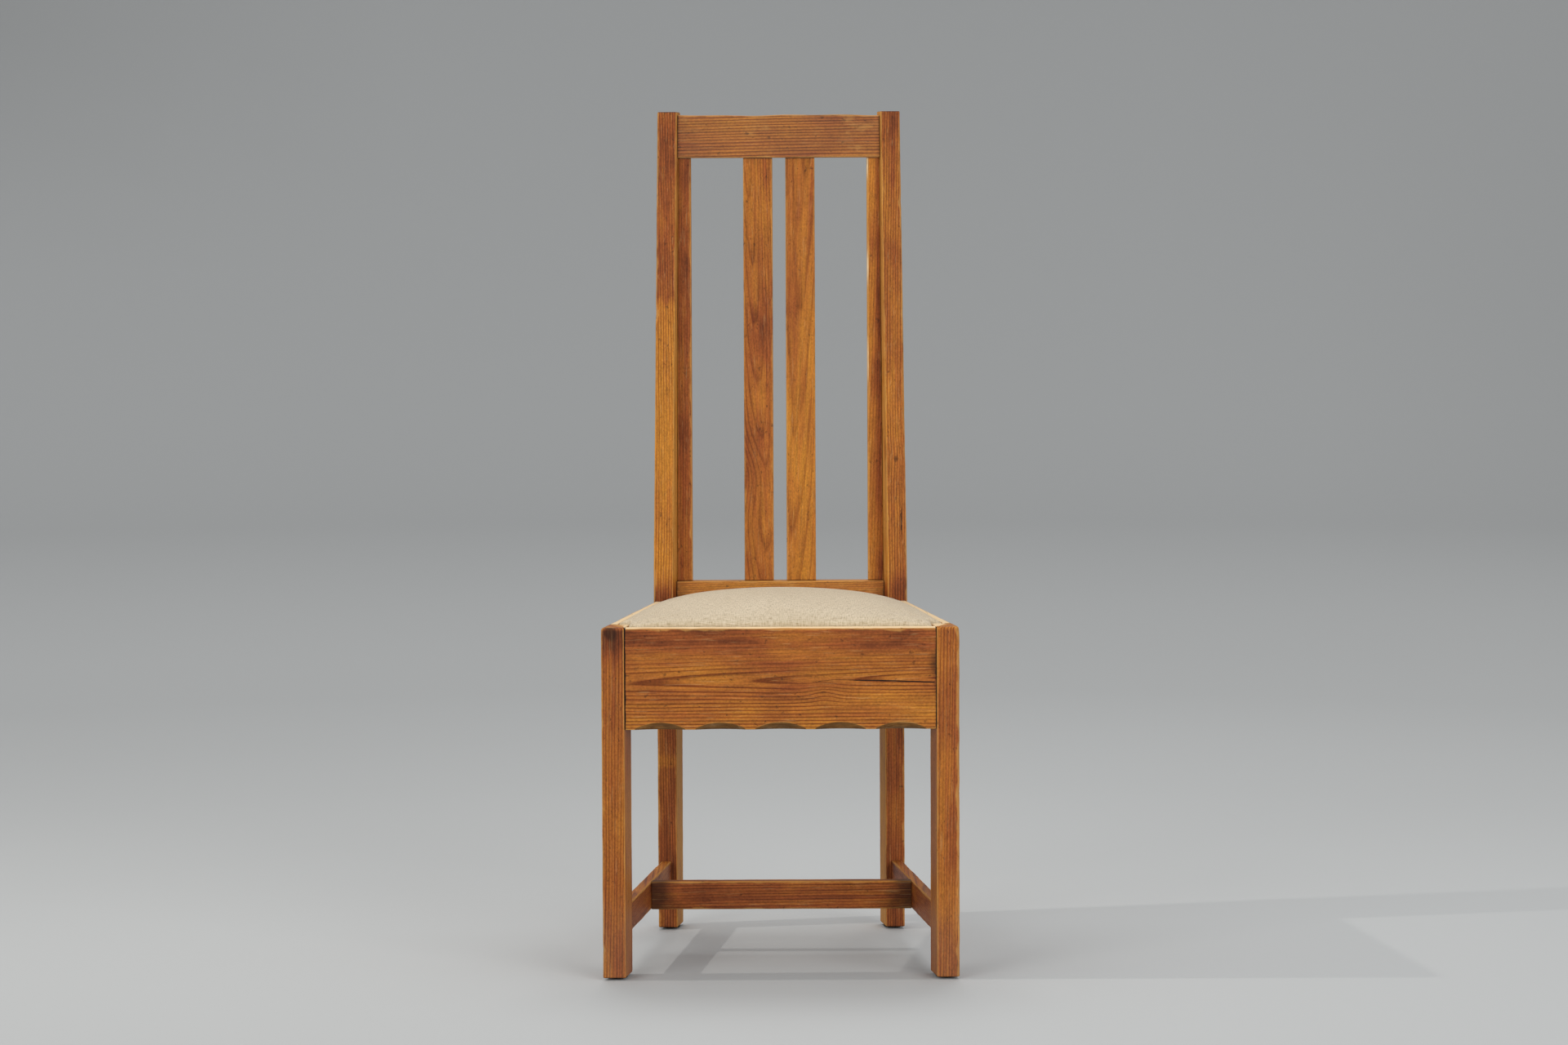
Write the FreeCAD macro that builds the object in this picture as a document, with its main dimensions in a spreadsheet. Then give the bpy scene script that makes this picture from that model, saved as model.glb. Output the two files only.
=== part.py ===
import FreeCAD, Part
import math
import os
import Sketcher

# A tall-backed pine chair with a loose upholstered seat. Millimetres, +Z up, the front faces -Y, and left and
# right are as seen from the front. The origin lies on the floor under the middle of the chair.
# Heights are from the floor. Depths are from the front faces of the front legs, until placed() shifts them.

doc = FreeCAD.newDocument("chair")
sheet = doc.addObject("Spreadsheet::Sheet", "Sizes")
X_AXIS = FreeCAD.Vector(1, 0, 0)
Y_AXIS = FreeCAD.Vector(0, 1, 0)
Z_AXIS = FreeCAD.Vector(0, 0, 1)
LEFT = -1
RIGHT = 1
BOTH_SIDES = (LEFT, RIGHT)


class Size:
    """A length worked out from the sheet: the formula that binds it and its present value."""

    def __init__(self, text, number):
        self.text = text
        self.number = number

    def __add__(self, other):
        other = as_size(other)
        return Size(f"({self.text} + {other.text})", self.number + other.number)

    def __sub__(self, other):
        other = as_size(other)
        return Size(f"({self.text} - {other.text})", self.number - other.number)

    def __mul__(self, other):
        other = as_size(other)
        return Size(f"({self.text} * {other.text})", self.number * other.number)

    def __truediv__(self, other):
        other = as_size(other)
        return Size(f"({self.text} / {other.text})", self.number / other.number)

    def __radd__(self, other):
        return as_size(other) + self

    def __rsub__(self, other):
        return as_size(other) - self

    def __rmul__(self, other):
        return as_size(other) * self

    def __neg__(self):
        return as_size(0) - self


def as_size(value):
    return value if isinstance(value, Size) else Size(f"({value})", value)


def root(value):
    return Size(f"sqrt({value.text})", math.sqrt(value.number))


def size(name, value):
    """Write one driving dimension into the sheet."""
    row = len(sheet.getUsedCells()) // 2 + 1
    sheet.set(f"A{row}", name)
    sheet.set(f"B{row}", str(value))
    sheet.setAlias(f"B{row}", name)
    return Size(f"Sizes.{name}", value)


# Overall form
front_width = size("front_width", 454)
rear_width = size("rear_width", 342)
seat_depth = size("seat_depth", 375)
seat_height = size("seat_height", 450)
overall_height = size("overall_height", 1108)
arris_radius = size("arris_radius", 2)
fit_gap = size("fit_gap", 0.1)

# Legs and posts
front_leg_width = size("front_leg_width", 29)
front_leg_depth = size("front_leg_depth", 48)
post_width = size("post_width", 26)
post_rake = size("post_rake", 50)
post_top_depth = size("post_top_depth", 30)
rear_leg_setback = size("rear_leg_setback", 23)
rear_leg_depth = size("rear_leg_depth", 46)
knee_height = size("knee_height", 60)
bend_run = size("bend_run", 24)
end_chamfer = size("end_chamfer", 1.5)

# Nail-on glides
glide_diameter = size("glide_diameter", 25)
glide_height = size("glide_height", 3)
nail_diameter = size("nail_diameter", 2.4)
nail_length = size("nail_length", 18)

# Seat rails and their joints
rail_thickness = size("rail_thickness", 22)
apron_height = size("apron_height", 130)
apron_setback = size("apron_setback", 1)
apron_arris = size("apron_arris", 4)
side_rail_height = size("side_rail_height", 100)
side_rail_reveal = size("side_rail_reveal", 1.5)
rear_rail_height = size("rear_rail_height", 100)
rear_rail_rise = size("rear_rail_rise", 25)
rail_land = size("rail_land", 10)
rebate_depth = size("rebate_depth", 23.5)
tenon_thickness = size("tenon_thickness", 9)
tenon_shoulder = size("tenon_shoulder", 12)
cross_tenon_length = size("cross_tenon_length", 18)
side_tenon_length = size("side_tenon_length", 22)

# Scallops gouged out of the apron's lower front arris
SCALLOP_COUNT = 5
scallop_pitch = size("scallop_pitch", 76.3)
scallop_width = size("scallop_width", 61)
scallop_height = size("scallop_height", 8.3)

# Back panel between the posts
panel_recess_seat = size("panel_recess_seat", 28)
panel_recess_top = size("panel_recess_top", 6)
crest_height = size("crest_height", 58)
crest_thickness = size("crest_thickness", 20)
crest_drop = size("crest_drop", 4)
slat_width = size("slat_width", 39.5)
slat_spacing = size("slat_spacing", 57)
slat_thickness = size("slat_thickness", 12)
slat_setback = size("slat_setback", 4)
slat_tenon_length = size("slat_tenon_length", 15)
slat_shoulder = size("slat_shoulder", 2)
side_slat_width = size("side_slat_width", 22.3)
side_slat_gap = size("side_slat_gap", 0.4)

# Stretchers
stretcher_bottom = size("stretcher_bottom", 57)
stretcher_height = size("stretcher_height", 37)
stretcher_thickness = size("stretcher_thickness", 14)
stretcher_inset_front = size("stretcher_inset_front", 14.5)
stretcher_inset_rear = size("stretcher_inset_rear", 4)
stretcher_tenon = size("stretcher_tenon", 7)
stretcher_cheek = size("stretcher_cheek", 2)
stretcher_tenon_length = size("stretcher_tenon_length", 20)
stretcher_shoulder = size("stretcher_shoulder", 5)
cross_thickness = size("cross_thickness", 18)
cross_stub = size("cross_stub", 9)

# Corner blocks and their screws
block_reach = size("block_reach", 48)
block_height = size("block_height", 38)
screw_head_diameter = size("screw_head_diameter", 8)
screw_head_height = size("screw_head_height", 2.5)
screw_diameter = size("screw_diameter", 4)
screw_bite = size("screw_bite", 14)
screw_step = size("screw_step", 9)
screw_offset = size("screw_offset", 20)
screw_shank_in_block = size("screw_shank_in_block", 12)

# Loose seat
seat_gap = size("seat_gap", 1.5)
seat_rest_gap = size("seat_rest_gap", 0.3)
seat_frame_width = size("seat_frame_width", 45)
seat_frame_thickness = size("seat_frame_thickness", 16)
seat_lap = size("seat_lap", 30)
webbing_width = size("webbing_width", 50)
webbing_thickness = size("webbing_thickness", 1.5)
webbing_spacing = size("webbing_spacing", 75)
webbing_pitch = size("webbing_pitch", 95)
webbing_end = size("webbing_end", 6)
webbing_ramp = size("webbing_ramp", 6)
hessian_thickness = size("hessian_thickness", 0.8)
hessian_margin = size("hessian_margin", 4)
crown_height = size("crown_height", 23.5)
pad_edge = size("pad_edge", 3)
pad_draw_in = size("pad_draw_in", 2)
edge_arch = size("edge_arch", 2)
cover_thickness = size("cover_thickness", 1.2)
tack_head_diameter = size("tack_head_diameter", 7)
tack_head_height = size("tack_head_height", 0.8)
tack_diameter = size("tack_diameter", 1.6)
tack_length = size("tack_length", 9)
tack_rail_gap = size("tack_rail_gap", 3)
tack_clear = size("tack_clear", 10)

# Lines that the pieces share
overall_depth = seat_depth + post_rake + post_top_depth
side_lean = (front_width - rear_width) / 2 / seat_depth
panel_lean = (post_rake + panel_recess_top - panel_recess_seat) / (overall_height - seat_height)
rear_leg_front = seat_depth + rear_leg_setback
rear_rail_front = seat_depth + panel_recess_seat
rear_rail_top = seat_height + rear_rail_rise
crest_top = overall_height - crest_drop
crest_bottom = crest_top - crest_height
rebate_floor = seat_height - rebate_depth
apron_back = apron_setback + rail_thickness
OVERSHOOT = 5
TENON_ROOT = 2


def outer(depth):
    """Half the width across the outer faces of legs, posts and side rails."""
    return front_width / 2 - side_lean * depth


def leg_inner(depth):
    return outer(depth) - front_leg_width


def post_inner(depth):
    return outer(depth) - post_width


def rail_inner(depth):
    return outer(depth) - side_rail_reveal - rail_thickness


def panel(height):
    """Depth of the raked front plane of the back panel."""
    return rear_rail_front + panel_lean * (height - seat_height)


def stretcher_outer(depth):
    """Half the width across the outer faces of the side stretchers, which run from leg to leg."""
    at_front = outer(front_leg_depth) - stretcher_inset_front
    at_rear = outer(rear_leg_front) - stretcher_inset_rear
    return at_front - (at_front - at_rear) / (rear_leg_front - front_leg_depth) * (depth - front_leg_depth)


def placed(depth):
    """A depth from the front faces of the legs as a Y of the document, which is centred on the chair."""
    return as_size(depth) - overall_depth / 2


# Sketches and features
nodes = {}


def bind(target, path, value):
    target.setExpression(path, as_size(value).text)


def new_body(name):
    body = doc.addObject("PartDesign::Body", name)
    body.Label = name
    return body


def origin_feature(body, role):
    return next(part for part in body.Origin.OriginFeatures if part.Role == role)


def bulged_middle(start, end, radius, hand):
    """The point half way along an arc that bulges to the left or right of the way from start to end."""
    chord = end - start
    sagitta = radius - math.sqrt(radius ** 2 - chord.Length ** 2 / 4)
    return (start + end) / 2 + FreeCAD.Vector(chord.y, -chord.x, 0).normalize() * sagitta * hand


def outline(body, name, plane, offset, points, arcs=None):
    """A closed sketch through the points. arcs gives edges a radius and the side they bulge to."""
    arcs = arcs or {}
    sketch = body.newObject("Sketcher::SketchObject", name)
    sketch.AttachmentSupport = [(origin_feature(body, plane), "")]
    sketch.MapMode = "FlatFace"
    bind(sketch, "AttachmentOffset.Base.z", offset)
    corners = [(as_size(across), as_size(along)) for across, along in points]
    places = [FreeCAD.Vector(across.number, along.number, 0) for across, along in corners]
    ends = []
    for index, start in enumerate(places):
        end = places[(index + 1) % len(places)]
        edge = Part.LineSegment(start, end)
        runs_clockwise = False
        if index in arcs:
            radius, hand = arcs[index]
            edge = Part.Arc(start, bulged_middle(start, end, radius.number, hand), end)
            runs_clockwise = hand == LEFT
        sketch.addGeometry(edge, False)
        ends.append((2, 1) if runs_clockwise else (1, 2))
    for index in range(len(places)):
        after = (index + 1) % len(places)
        sketch.addConstraint(Sketcher.Constraint("Coincident", index, ends[index][1], after, ends[after][0]))
    for index, (across, along) in enumerate(corners):
        for kind, value in (("DistanceX", across), ("DistanceY", along)):
            rule = Sketcher.Constraint(kind, -1, 1, index, ends[index][0], value.number)
            bind(sketch, f"Constraints[{sketch.addConstraint(rule)}]", value)
    for index, (radius, hand) in arcs.items():
        rule = Sketcher.Constraint("Radius", index, radius.number)
        bind(sketch, f"Constraints[{sketch.addConstraint(rule)}]", radius)
    return sketch


def pad(body, name, plane, start, end, points, arcs=None):
    """Add the outline's prism from start to end along the plane's normal."""
    feature = body.newObject("PartDesign::Pad", name)
    feature.Profile = outline(body, name + "_outline", plane, start, points, arcs)
    bind(feature, "Length", end - start)
    return feature


def cut(body, feature):
    """Turn a cut towards the plane's normal and make sure that it takes wood away."""
    before = body.Shape.Volume
    feature.Reversed = True
    doc.recompute()
    if not body.Shape.Volume < before:
        raise ValueError(f"{feature.Label} cuts nothing")


def pocket(body, name, plane, start, end, points):
    doc.recompute()
    feature = body.newObject("PartDesign::Pocket", name)
    feature.Profile = outline(body, name + "_outline", plane, start, points)
    bind(feature, "Length", end - start)
    cut(body, feature)
    return feature


def circle(body, name, plane, offset, across, along, diameter):
    sketch = body.newObject("Sketcher::SketchObject", name)
    sketch.AttachmentSupport = [(origin_feature(body, plane), "")]
    sketch.MapMode = "FlatFace"
    bind(sketch, "AttachmentOffset.Base.z", offset)
    centre = FreeCAD.Vector(across.number, along.number, 0)
    sketch.addGeometry(Part.Circle(centre, Z_AXIS, diameter.number / 2), False)
    for kind, value in (("DistanceX", across), ("DistanceY", along)):
        rule = Sketcher.Constraint(kind, -1, 1, 0, 3, value.number)
        bind(sketch, f"Constraints[{sketch.addConstraint(rule)}]", value)
    rule = Sketcher.Constraint("Diameter", 0, diameter.number)
    bind(sketch, f"Constraints[{sketch.addConstraint(rule)}]", diameter)
    return sketch


def bore(body, name, plane, start, end, across, along, diameter):
    doc.recompute()
    feature = body.newObject("PartDesign::Pocket", name)
    feature.Profile = circle(body, name + "_circle", plane, start, across, along, diameter)
    bind(feature, "Length", end - start)
    cut(body, feature)
    return feature


def dress(body, kind, name, amount, wanted):
    """Round or chamfer the edges of the last feature that the test picks."""
    doc.recompute()
    base = body.Tip
    edges = [f"Edge{number}" for number, edge in enumerate(base.Shape.Edges, 1) if wanted(edge)]
    feature = body.newObject("PartDesign::" + kind, name)
    feature.Base = (base, edges)
    bind(feature, "Radius" if kind == "Fillet" else "Size", amount)
    return feature


def runs_along(edge, axis, least):
    """Whether an edge is straight, about parallel to the axis and at least so long."""
    if not isinstance(edge.Curve, Part.Line) or edge.Length < least:
        return False
    return abs(edge.Curve.Direction.dot(axis)) > 0.9


def lies_at_height(edge, height):
    return all(abs(vertex.Z - height.number) < 0.01 for vertex in edge.Vertexes)


def keep(feature, name):
    feature.Label = name
    nodes[name] = feature


def mirror(feature, name):
    """The right-hand twin of a left-hand piece."""
    twin = doc.addObject("Part::Mirroring", name)
    twin.Source = feature
    twin.Normal = X_AXIS
    twin.Base = FreeCAD.Vector(0, 0, 0)
    return twin


def keep_pair(feature, name):
    keep(feature, name + "_left")
    keep(mirror(feature, name + "_right"), name + "_right")


def group(name, members):
    compound = doc.addObject("Part::Compound", name)
    compound.Links = members
    return compound


def band(left_edge, width, near, far):
    """Plan of a left-hand board that leans with the side. left_edge(depth) is half the width outside it."""
    return [
        (-left_edge(near), placed(near)),
        (width - left_edge(near), placed(near)),
        (width - left_edge(far), placed(far)),
        (-left_edge(far), placed(far)),
    ]


def bridge(half_width, near, far):
    """Plan of a board across the chair whose ends follow half_width(depth)."""
    return [
        (-half_width(near), placed(near)),
        (half_width(near), placed(near)),
        (half_width(far), placed(far)),
        (-half_width(far), placed(far)),
    ]


def raked(inset, thickness, low, high):
    """Side view of a board in the raked back panel, set back by inset from its front plane."""
    return [
        (placed(panel(low) + inset), low),
        (placed(panel(low) + inset + thickness), low),
        (placed(panel(high) + inset + thickness), high),
        (placed(panel(high) + inset), high),
    ]


def upright(near, far, low, high):
    """Side view of a board that stands plumb."""
    return [(placed(near), low), (placed(far), low), (placed(far), high), (placed(near), high)]


# Joints: the tenon on one piece and the mortise in the other come from the same lines
apron_tenon_front = apron_setback + (rail_thickness - tenon_thickness) / 2
apron_tenon_bottom = seat_height - apron_height + tenon_shoulder
rail_tenon_top = rebate_floor - tenon_shoulder / 2
side_tenon_bottom = seat_height - side_rail_height + tenon_shoulder
rear_tenon_front = rear_rail_front + (rail_thickness - tenon_thickness) / 2
rear_tenon_bottom = rear_rail_top - rear_rail_height + tenon_shoulder
rear_tenon_top = rear_rail_top - tenon_shoulder
crest_tenon_inset = (crest_thickness - tenon_thickness) / 2
crest_tenon_bottom = crest_bottom + tenon_shoulder
crest_tenon_top = crest_top - tenon_shoulder
stretcher_top = stretcher_bottom + stretcher_height
stretcher_tenon_bottom = stretcher_bottom + stretcher_shoulder
stretcher_tenon_top = stretcher_top - stretcher_shoulder
cross_middle = (front_leg_depth + rear_leg_front) / 2
cross_tenon_front = cross_middle - tenon_thickness / 2


def side_tenon_edge(depth):
    return outer(depth) - side_rail_reveal - (rail_thickness - tenon_thickness) / 2


def side_mortise_edge(depth):
    return side_tenon_edge(depth) + fit_gap


def stretcher_tenon_edge(depth):
    return stretcher_outer(depth) - stretcher_cheek


def stretcher_mortise_edge(depth):
    return stretcher_tenon_edge(depth) + fit_gap


def stretcher_inner(depth):
    return stretcher_outer(depth) - stretcher_thickness


def cut_side_mortises(body, near_rail, far_rail, near_stretcher, far_stretcher):
    """Mortises of the side rail and the side stretcher in a leg or post."""
    rail = band(side_mortise_edge, tenon_thickness + 2 * fit_gap, near_rail, far_rail)
    pocket(body, "rail_mortise", "XY_Plane", side_tenon_bottom - fit_gap, rail_tenon_top + fit_gap, rail)
    low = stretcher_tenon_bottom - fit_gap
    high = stretcher_tenon_top + fit_gap
    stretcher = band(stretcher_mortise_edge, stretcher_tenon + 2 * fit_gap, near_stretcher, far_stretcher)
    pocket(body, "stretcher_mortise", "XY_Plane", low, high, stretcher)


def build_front_legs():
    """A front leg: straight, its sides leaning with the seat, rounded arrises and chamfered ends."""
    body = new_body("front_leg_left")
    plan = band(outer, front_leg_width, as_size(0), front_leg_depth)
    pad(body, "leg", "XY_Plane", glide_height, seat_height, plan)
    dress(body, "Fillet", "arrises", arris_radius, lambda edge: runs_along(edge, Z_AXIS, 100))
    dress(body, "Chamfer", "ends", end_chamfer, lambda edge: lies_at_height(edge, glide_height)
          or lies_at_height(edge, seat_height))
    apron = upright(apron_tenon_front - fit_gap, apron_tenon_front + tenon_thickness + fit_gap,
                    apron_tenon_bottom - fit_gap, rail_tenon_top + fit_gap)
    deep_end = -leg_inner(0) - cross_tenon_length - fit_gap
    pocket(body, "apron_mortise", "YZ_Plane", deep_end, OVERSHOOT - leg_inner(front_leg_depth), apron)
    cut_side_mortises(body, front_leg_depth - side_tenon_length - fit_gap, front_leg_depth + OVERSHOOT,
                      front_leg_depth - stretcher_tenon_length - fit_gap, front_leg_depth + OVERSHOOT)
    keep_pair(body, "front_leg")


def build_rear_posts():
    """A rear post, sawn in one piece: plumb leg, hollow curve to a knee at the seat, raked tapering top."""
    body = new_body("rear_post_left")
    knee_bottom = seat_height - side_rail_height
    curve_bottom = knee_bottom - knee_height
    bend = seat_height + bend_run
    stretch = root(1 + side_lean * side_lean)

    def drawn(depth):
        return placed(depth) * stretch

    rake_back = drawn(seat_depth + post_rake) - drawn(seat_depth)
    rake_up = overall_height - bend
    rake_length = root(rake_back * rake_back + rake_up * rake_up)
    profile = [
        (drawn(rear_leg_front), glide_height),
        (drawn(rear_leg_front + rear_leg_depth), glide_height),
        (drawn(overall_depth), overall_height),
        (drawn(overall_depth - post_top_depth), overall_height),
        (drawn(seat_depth) + bend_run * rake_back / rake_length, bend + bend_run * rake_up / rake_length),
        (drawn(seat_depth), seat_height),
        (drawn(seat_depth), knee_bottom),
        (drawn(rear_leg_front), curve_bottom),
    ]
    bend_radius = bend_run * rake_back / (rake_length - rake_up)
    setback = rear_leg_setback * stretch
    knee_radius = (setback * setback + knee_height * knee_height) / (2 * setback)
    outer_plane = -outer(overall_depth / 2)
    post = pad(body, "post", "YZ_Plane", outer_plane, outer_plane + post_width, profile,
               {4: (bend_radius, RIGHT), 6: (knee_radius, LEFT)})
    sketch = post.Profile[0]
    sketch.AttachmentOffset = FreeCAD.Placement(FreeCAD.Vector(0, 0, 0), FreeCAD.Rotation(Y_AXIS, 1))
    sketch.setExpression("AttachmentOffset.Rotation.Angle", f"-atan({side_lean.text})")
    post.UseCustomVector = True
    post.Direction = X_AXIS
    post.AlongSketchNormal = False
    dress(body, "Fillet", "arrises", arris_radius, lambda edge: runs_along(edge, Z_AXIS, 90))
    dress(body, "Chamfer", "ends", end_chamfer, lambda edge: lies_at_height(edge, glide_height)
          or lies_at_height(edge, overall_height))
    rail = upright(rear_tenon_front - fit_gap, rear_tenon_front + tenon_thickness + fit_gap,
                   rear_tenon_bottom - fit_gap, rear_tenon_top + fit_gap)
    deep_end = -post_inner(rear_rail_front) - cross_tenon_length - fit_gap
    pocket(body, "rear_rail_mortise", "YZ_Plane", deep_end, OVERSHOOT - post_inner(overall_depth), rail)
    crest = raked(crest_tenon_inset - fit_gap, tenon_thickness + 2 * fit_gap, crest_tenon_bottom - fit_gap,
                  crest_tenon_top + fit_gap)
    deep_end = -post_inner(panel(crest_bottom)) - cross_tenon_length - fit_gap
    pocket(body, "crest_mortise", "YZ_Plane", deep_end, OVERSHOOT - post_inner(overall_depth), crest)
    cut_side_mortises(body, seat_depth - OVERSHOOT, seat_depth + side_tenon_length + fit_gap,
                      rear_leg_front - OVERSHOOT, rear_leg_front + stretcher_tenon_length + fit_gap)
    keep_pair(body, "rear_post")


def cut_scallops(body):
    """Gouge cuts at 45 degrees across the apron's lower front arris, one circle's sweep repeated along it."""
    half_chord = scallop_width / 2
    depth_of_cut = scallop_height / root(as_size(2))
    radius = (half_chord * half_chord + depth_of_cut * depth_of_cut) / (2 * depth_of_cut)
    first = -(SCALLOP_COUNT - 1) / 2 * scallop_pitch
    doc.recompute()
    before = body.Shape.Volume
    sketch = circle(body, "gouge", "XZ_Plane", as_size(0), first, depth_of_cut - radius, 2 * radius)
    sketch.AttachmentOffset = FreeCAD.Placement(FreeCAD.Vector(0, 0, 0), FreeCAD.Rotation(X_AXIS, -45))
    bind(sketch, "AttachmentOffset.Base.y", seat_height - apron_height)
    bind(sketch, "AttachmentOffset.Base.z", -placed(apron_setback))
    feature = body.newObject("PartDesign::Pocket", "scallop")
    feature.Profile = sketch
    feature.Midplane = True
    bind(feature, "Length", 4 * scallop_height)
    pattern = body.newObject("PartDesign::LinearPattern", "scallops")
    pattern.Originals = [feature]
    pattern.Direction = (origin_feature(body, "X_Axis"), [""])
    bind(pattern, "Length", (SCALLOP_COUNT - 1) * scallop_pitch)
    pattern.Occurrences = SCALLOP_COUNT
    body.Tip = pattern
    doc.recompute()
    if not body.Shape.Volume < before:
        raise ValueError("the scallops cut nothing")


def build_front_apron():
    """The deep front board: rebated for the seat, rounded top arris, scallops and a tenon at each end."""
    body = new_body("front_apron")
    bottom = seat_height - apron_height
    pad(body, "board", "XY_Plane", bottom, seat_height, bridge(leg_inner, apron_setback, apron_back))
    front = placed(apron_setback).number
    dress(body, "Fillet", "top_arris", apron_arris, lambda edge: lies_at_height(edge, seat_height)
          and runs_along(edge, X_AXIS, 100) and abs(edge.Vertexes[0].Y - front) < 0.01)
    cut_scallops(body)
    rebate = bridge(outer, apron_setback + rail_land, apron_back + OVERSHOOT)
    pocket(body, "seat_rebate", "XY_Plane", rebate_floor, seat_height + OVERSHOOT, rebate)
    reach = leg_inner(0) + cross_tenon_length
    tenon = bridge(lambda depth: reach, apron_tenon_front, apron_tenon_front + tenon_thickness)
    pad(body, "tenons", "XY_Plane", apron_tenon_bottom, rail_tenon_top, tenon)
    keep(body, "front_apron")


def build_side_rails():
    """A side seat rail: leans with the side, rebated for the seat, a tenon at each end."""
    body = new_body("side_rail_left")
    bottom = seat_height - side_rail_height

    def face(depth):
        return outer(depth) - side_rail_reveal

    def rebate_wall(depth):
        return face(depth) - rail_land

    plan = band(face, rail_thickness, front_leg_depth, seat_depth)
    pad(body, "board", "XY_Plane", bottom, seat_height, plan)
    middle = (front_leg_depth + seat_depth) / 2
    dress(body, "Fillet", "top_arris", arris_radius, lambda edge: lies_at_height(edge, seat_height)
          and runs_along(edge, Y_AXIS, 100) and edge.CenterOfMass.x < -rail_inner(middle).number - 1)
    rebate = band(rebate_wall, rail_thickness, front_leg_depth - OVERSHOOT, seat_depth + OVERSHOOT)
    pocket(body, "seat_rebate", "XY_Plane", rebate_floor, seat_height + OVERSHOOT, rebate)
    tenon = band(side_tenon_edge, tenon_thickness, front_leg_depth - side_tenon_length,
                 seat_depth + side_tenon_length)
    pad(body, "tenons", "XY_Plane", side_tenon_bottom, rail_tenon_top, tenon)
    keep_pair(body, "side_rail")


# Where the slats stand: the middle pair by their centre lines, the side pair by their inner edges
slat_near = (slat_spacing - slat_width) / 2
slat_far = (slat_spacing + slat_width) / 2
side_slat_near = post_inner(rear_rail_front) - side_slat_width
side_slat_tenon = post_inner(overall_depth) - 2 * TENON_ROOT - side_slat_near - slat_shoulder


def slat_tenons():
    """Across the chair, the inner edge and width of each slat's tenon on one side."""
    return [
        (slat_near + slat_shoulder, slat_width - 2 * slat_shoulder),
        (side_slat_near + slat_shoulder, side_slat_tenon),
    ]


def cut_slat_mortises(body, low, high):
    thickness = slat_thickness - 2 * slat_shoulder + 2 * fit_gap
    side_view = raked(slat_setback + slat_shoulder - fit_gap, thickness, low, high)
    for number, (near, width) in enumerate(slat_tenons()):
        low, high = near - fit_gap, near + width + fit_gap
        pocket(body, f"slat_mortise_right_{number}", "YZ_Plane", low, high, side_view)
        pocket(body, f"slat_mortise_left_{number}", "YZ_Plane", -high, -low, side_view)


def build_rear_rail():
    """The rear seat rail: plumb, standing above the seat, mortised on top for the slats."""
    body = new_body("rear_rail")
    bottom = rear_rail_top - rear_rail_height
    rear = rear_rail_front + rail_thickness
    pad(body, "board", "XY_Plane", bottom, rear_rail_top, bridge(post_inner, rear_rail_front, rear))
    dress(body, "Fillet", "top_arrises", arris_radius, lambda edge: lies_at_height(edge, rear_rail_top)
          and runs_along(edge, X_AXIS, 100))
    cut_slat_mortises(body, rear_rail_top - slat_tenon_length - fit_gap, rear_rail_top + OVERSHOOT)
    reach = post_inner(rear_rail_front) + cross_tenon_length
    start = post_inner(rear) - TENON_ROOT
    for label, low, high in (("left", -reach, -start), ("right", start, reach)):
        tenon = [(low, placed(rear_tenon_front)), (high, placed(rear_tenon_front)),
                 (high, placed(rear_tenon_front + tenon_thickness)),
                 (low, placed(rear_tenon_front + tenon_thickness))]
        pad(body, f"tenon_{label}", "XY_Plane", rear_tenon_bottom, rear_tenon_top, tenon)
    keep(body, "rear_rail")


def trim_to_posts(body, name, gap, near, far, low, high):
    """Cut both ends of a board to the slanting inner faces of the posts, less a gap."""
    beyond = outer(0)
    for side, label in ((LEFT, "left"), (RIGHT, "right")):
        end = [
            (side * (post_inner(near) - gap), placed(near)),
            (side * beyond, placed(near)),
            (side * beyond, placed(far)),
            (side * (post_inner(far) - gap), placed(far)),
        ]
        pocket(body, f"{name}_{label}", "XY_Plane", low, high, end)


def build_crest_rail():
    """The crest rail: raked with the panel, mortised underneath for the slats, a tenon at each end."""
    body = new_body("crest_rail")
    side_view = raked(as_size(0), crest_thickness, crest_bottom, crest_top)
    blank = outer(seat_depth)
    pad(body, "board", "YZ_Plane", -blank, blank, side_view)
    dress(body, "Fillet", "arrises", arris_radius, lambda edge: runs_along(edge, X_AXIS, 100))
    near = panel(crest_bottom) - OVERSHOOT
    far = panel(crest_top) + crest_thickness + OVERSHOOT
    trim_to_posts(body, "shoulder", as_size(0), near, far, crest_bottom - OVERSHOOT, crest_top + OVERSHOOT)
    cut_slat_mortises(body, crest_bottom - OVERSHOOT, crest_bottom + slat_tenon_length + fit_gap)
    reach = post_inner(panel(crest_bottom)) + cross_tenon_length
    tenon = raked(crest_tenon_inset, tenon_thickness, crest_tenon_bottom, crest_tenon_top)
    start = post_inner(panel(crest_top) + crest_thickness) - TENON_ROOT
    for label, low, high in (("left", -reach, -start), ("right", start, reach)):
        pad(body, f"tenon_{label}", "YZ_Plane", low, high, tenon)
    keep(body, "crest_rail")


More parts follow.
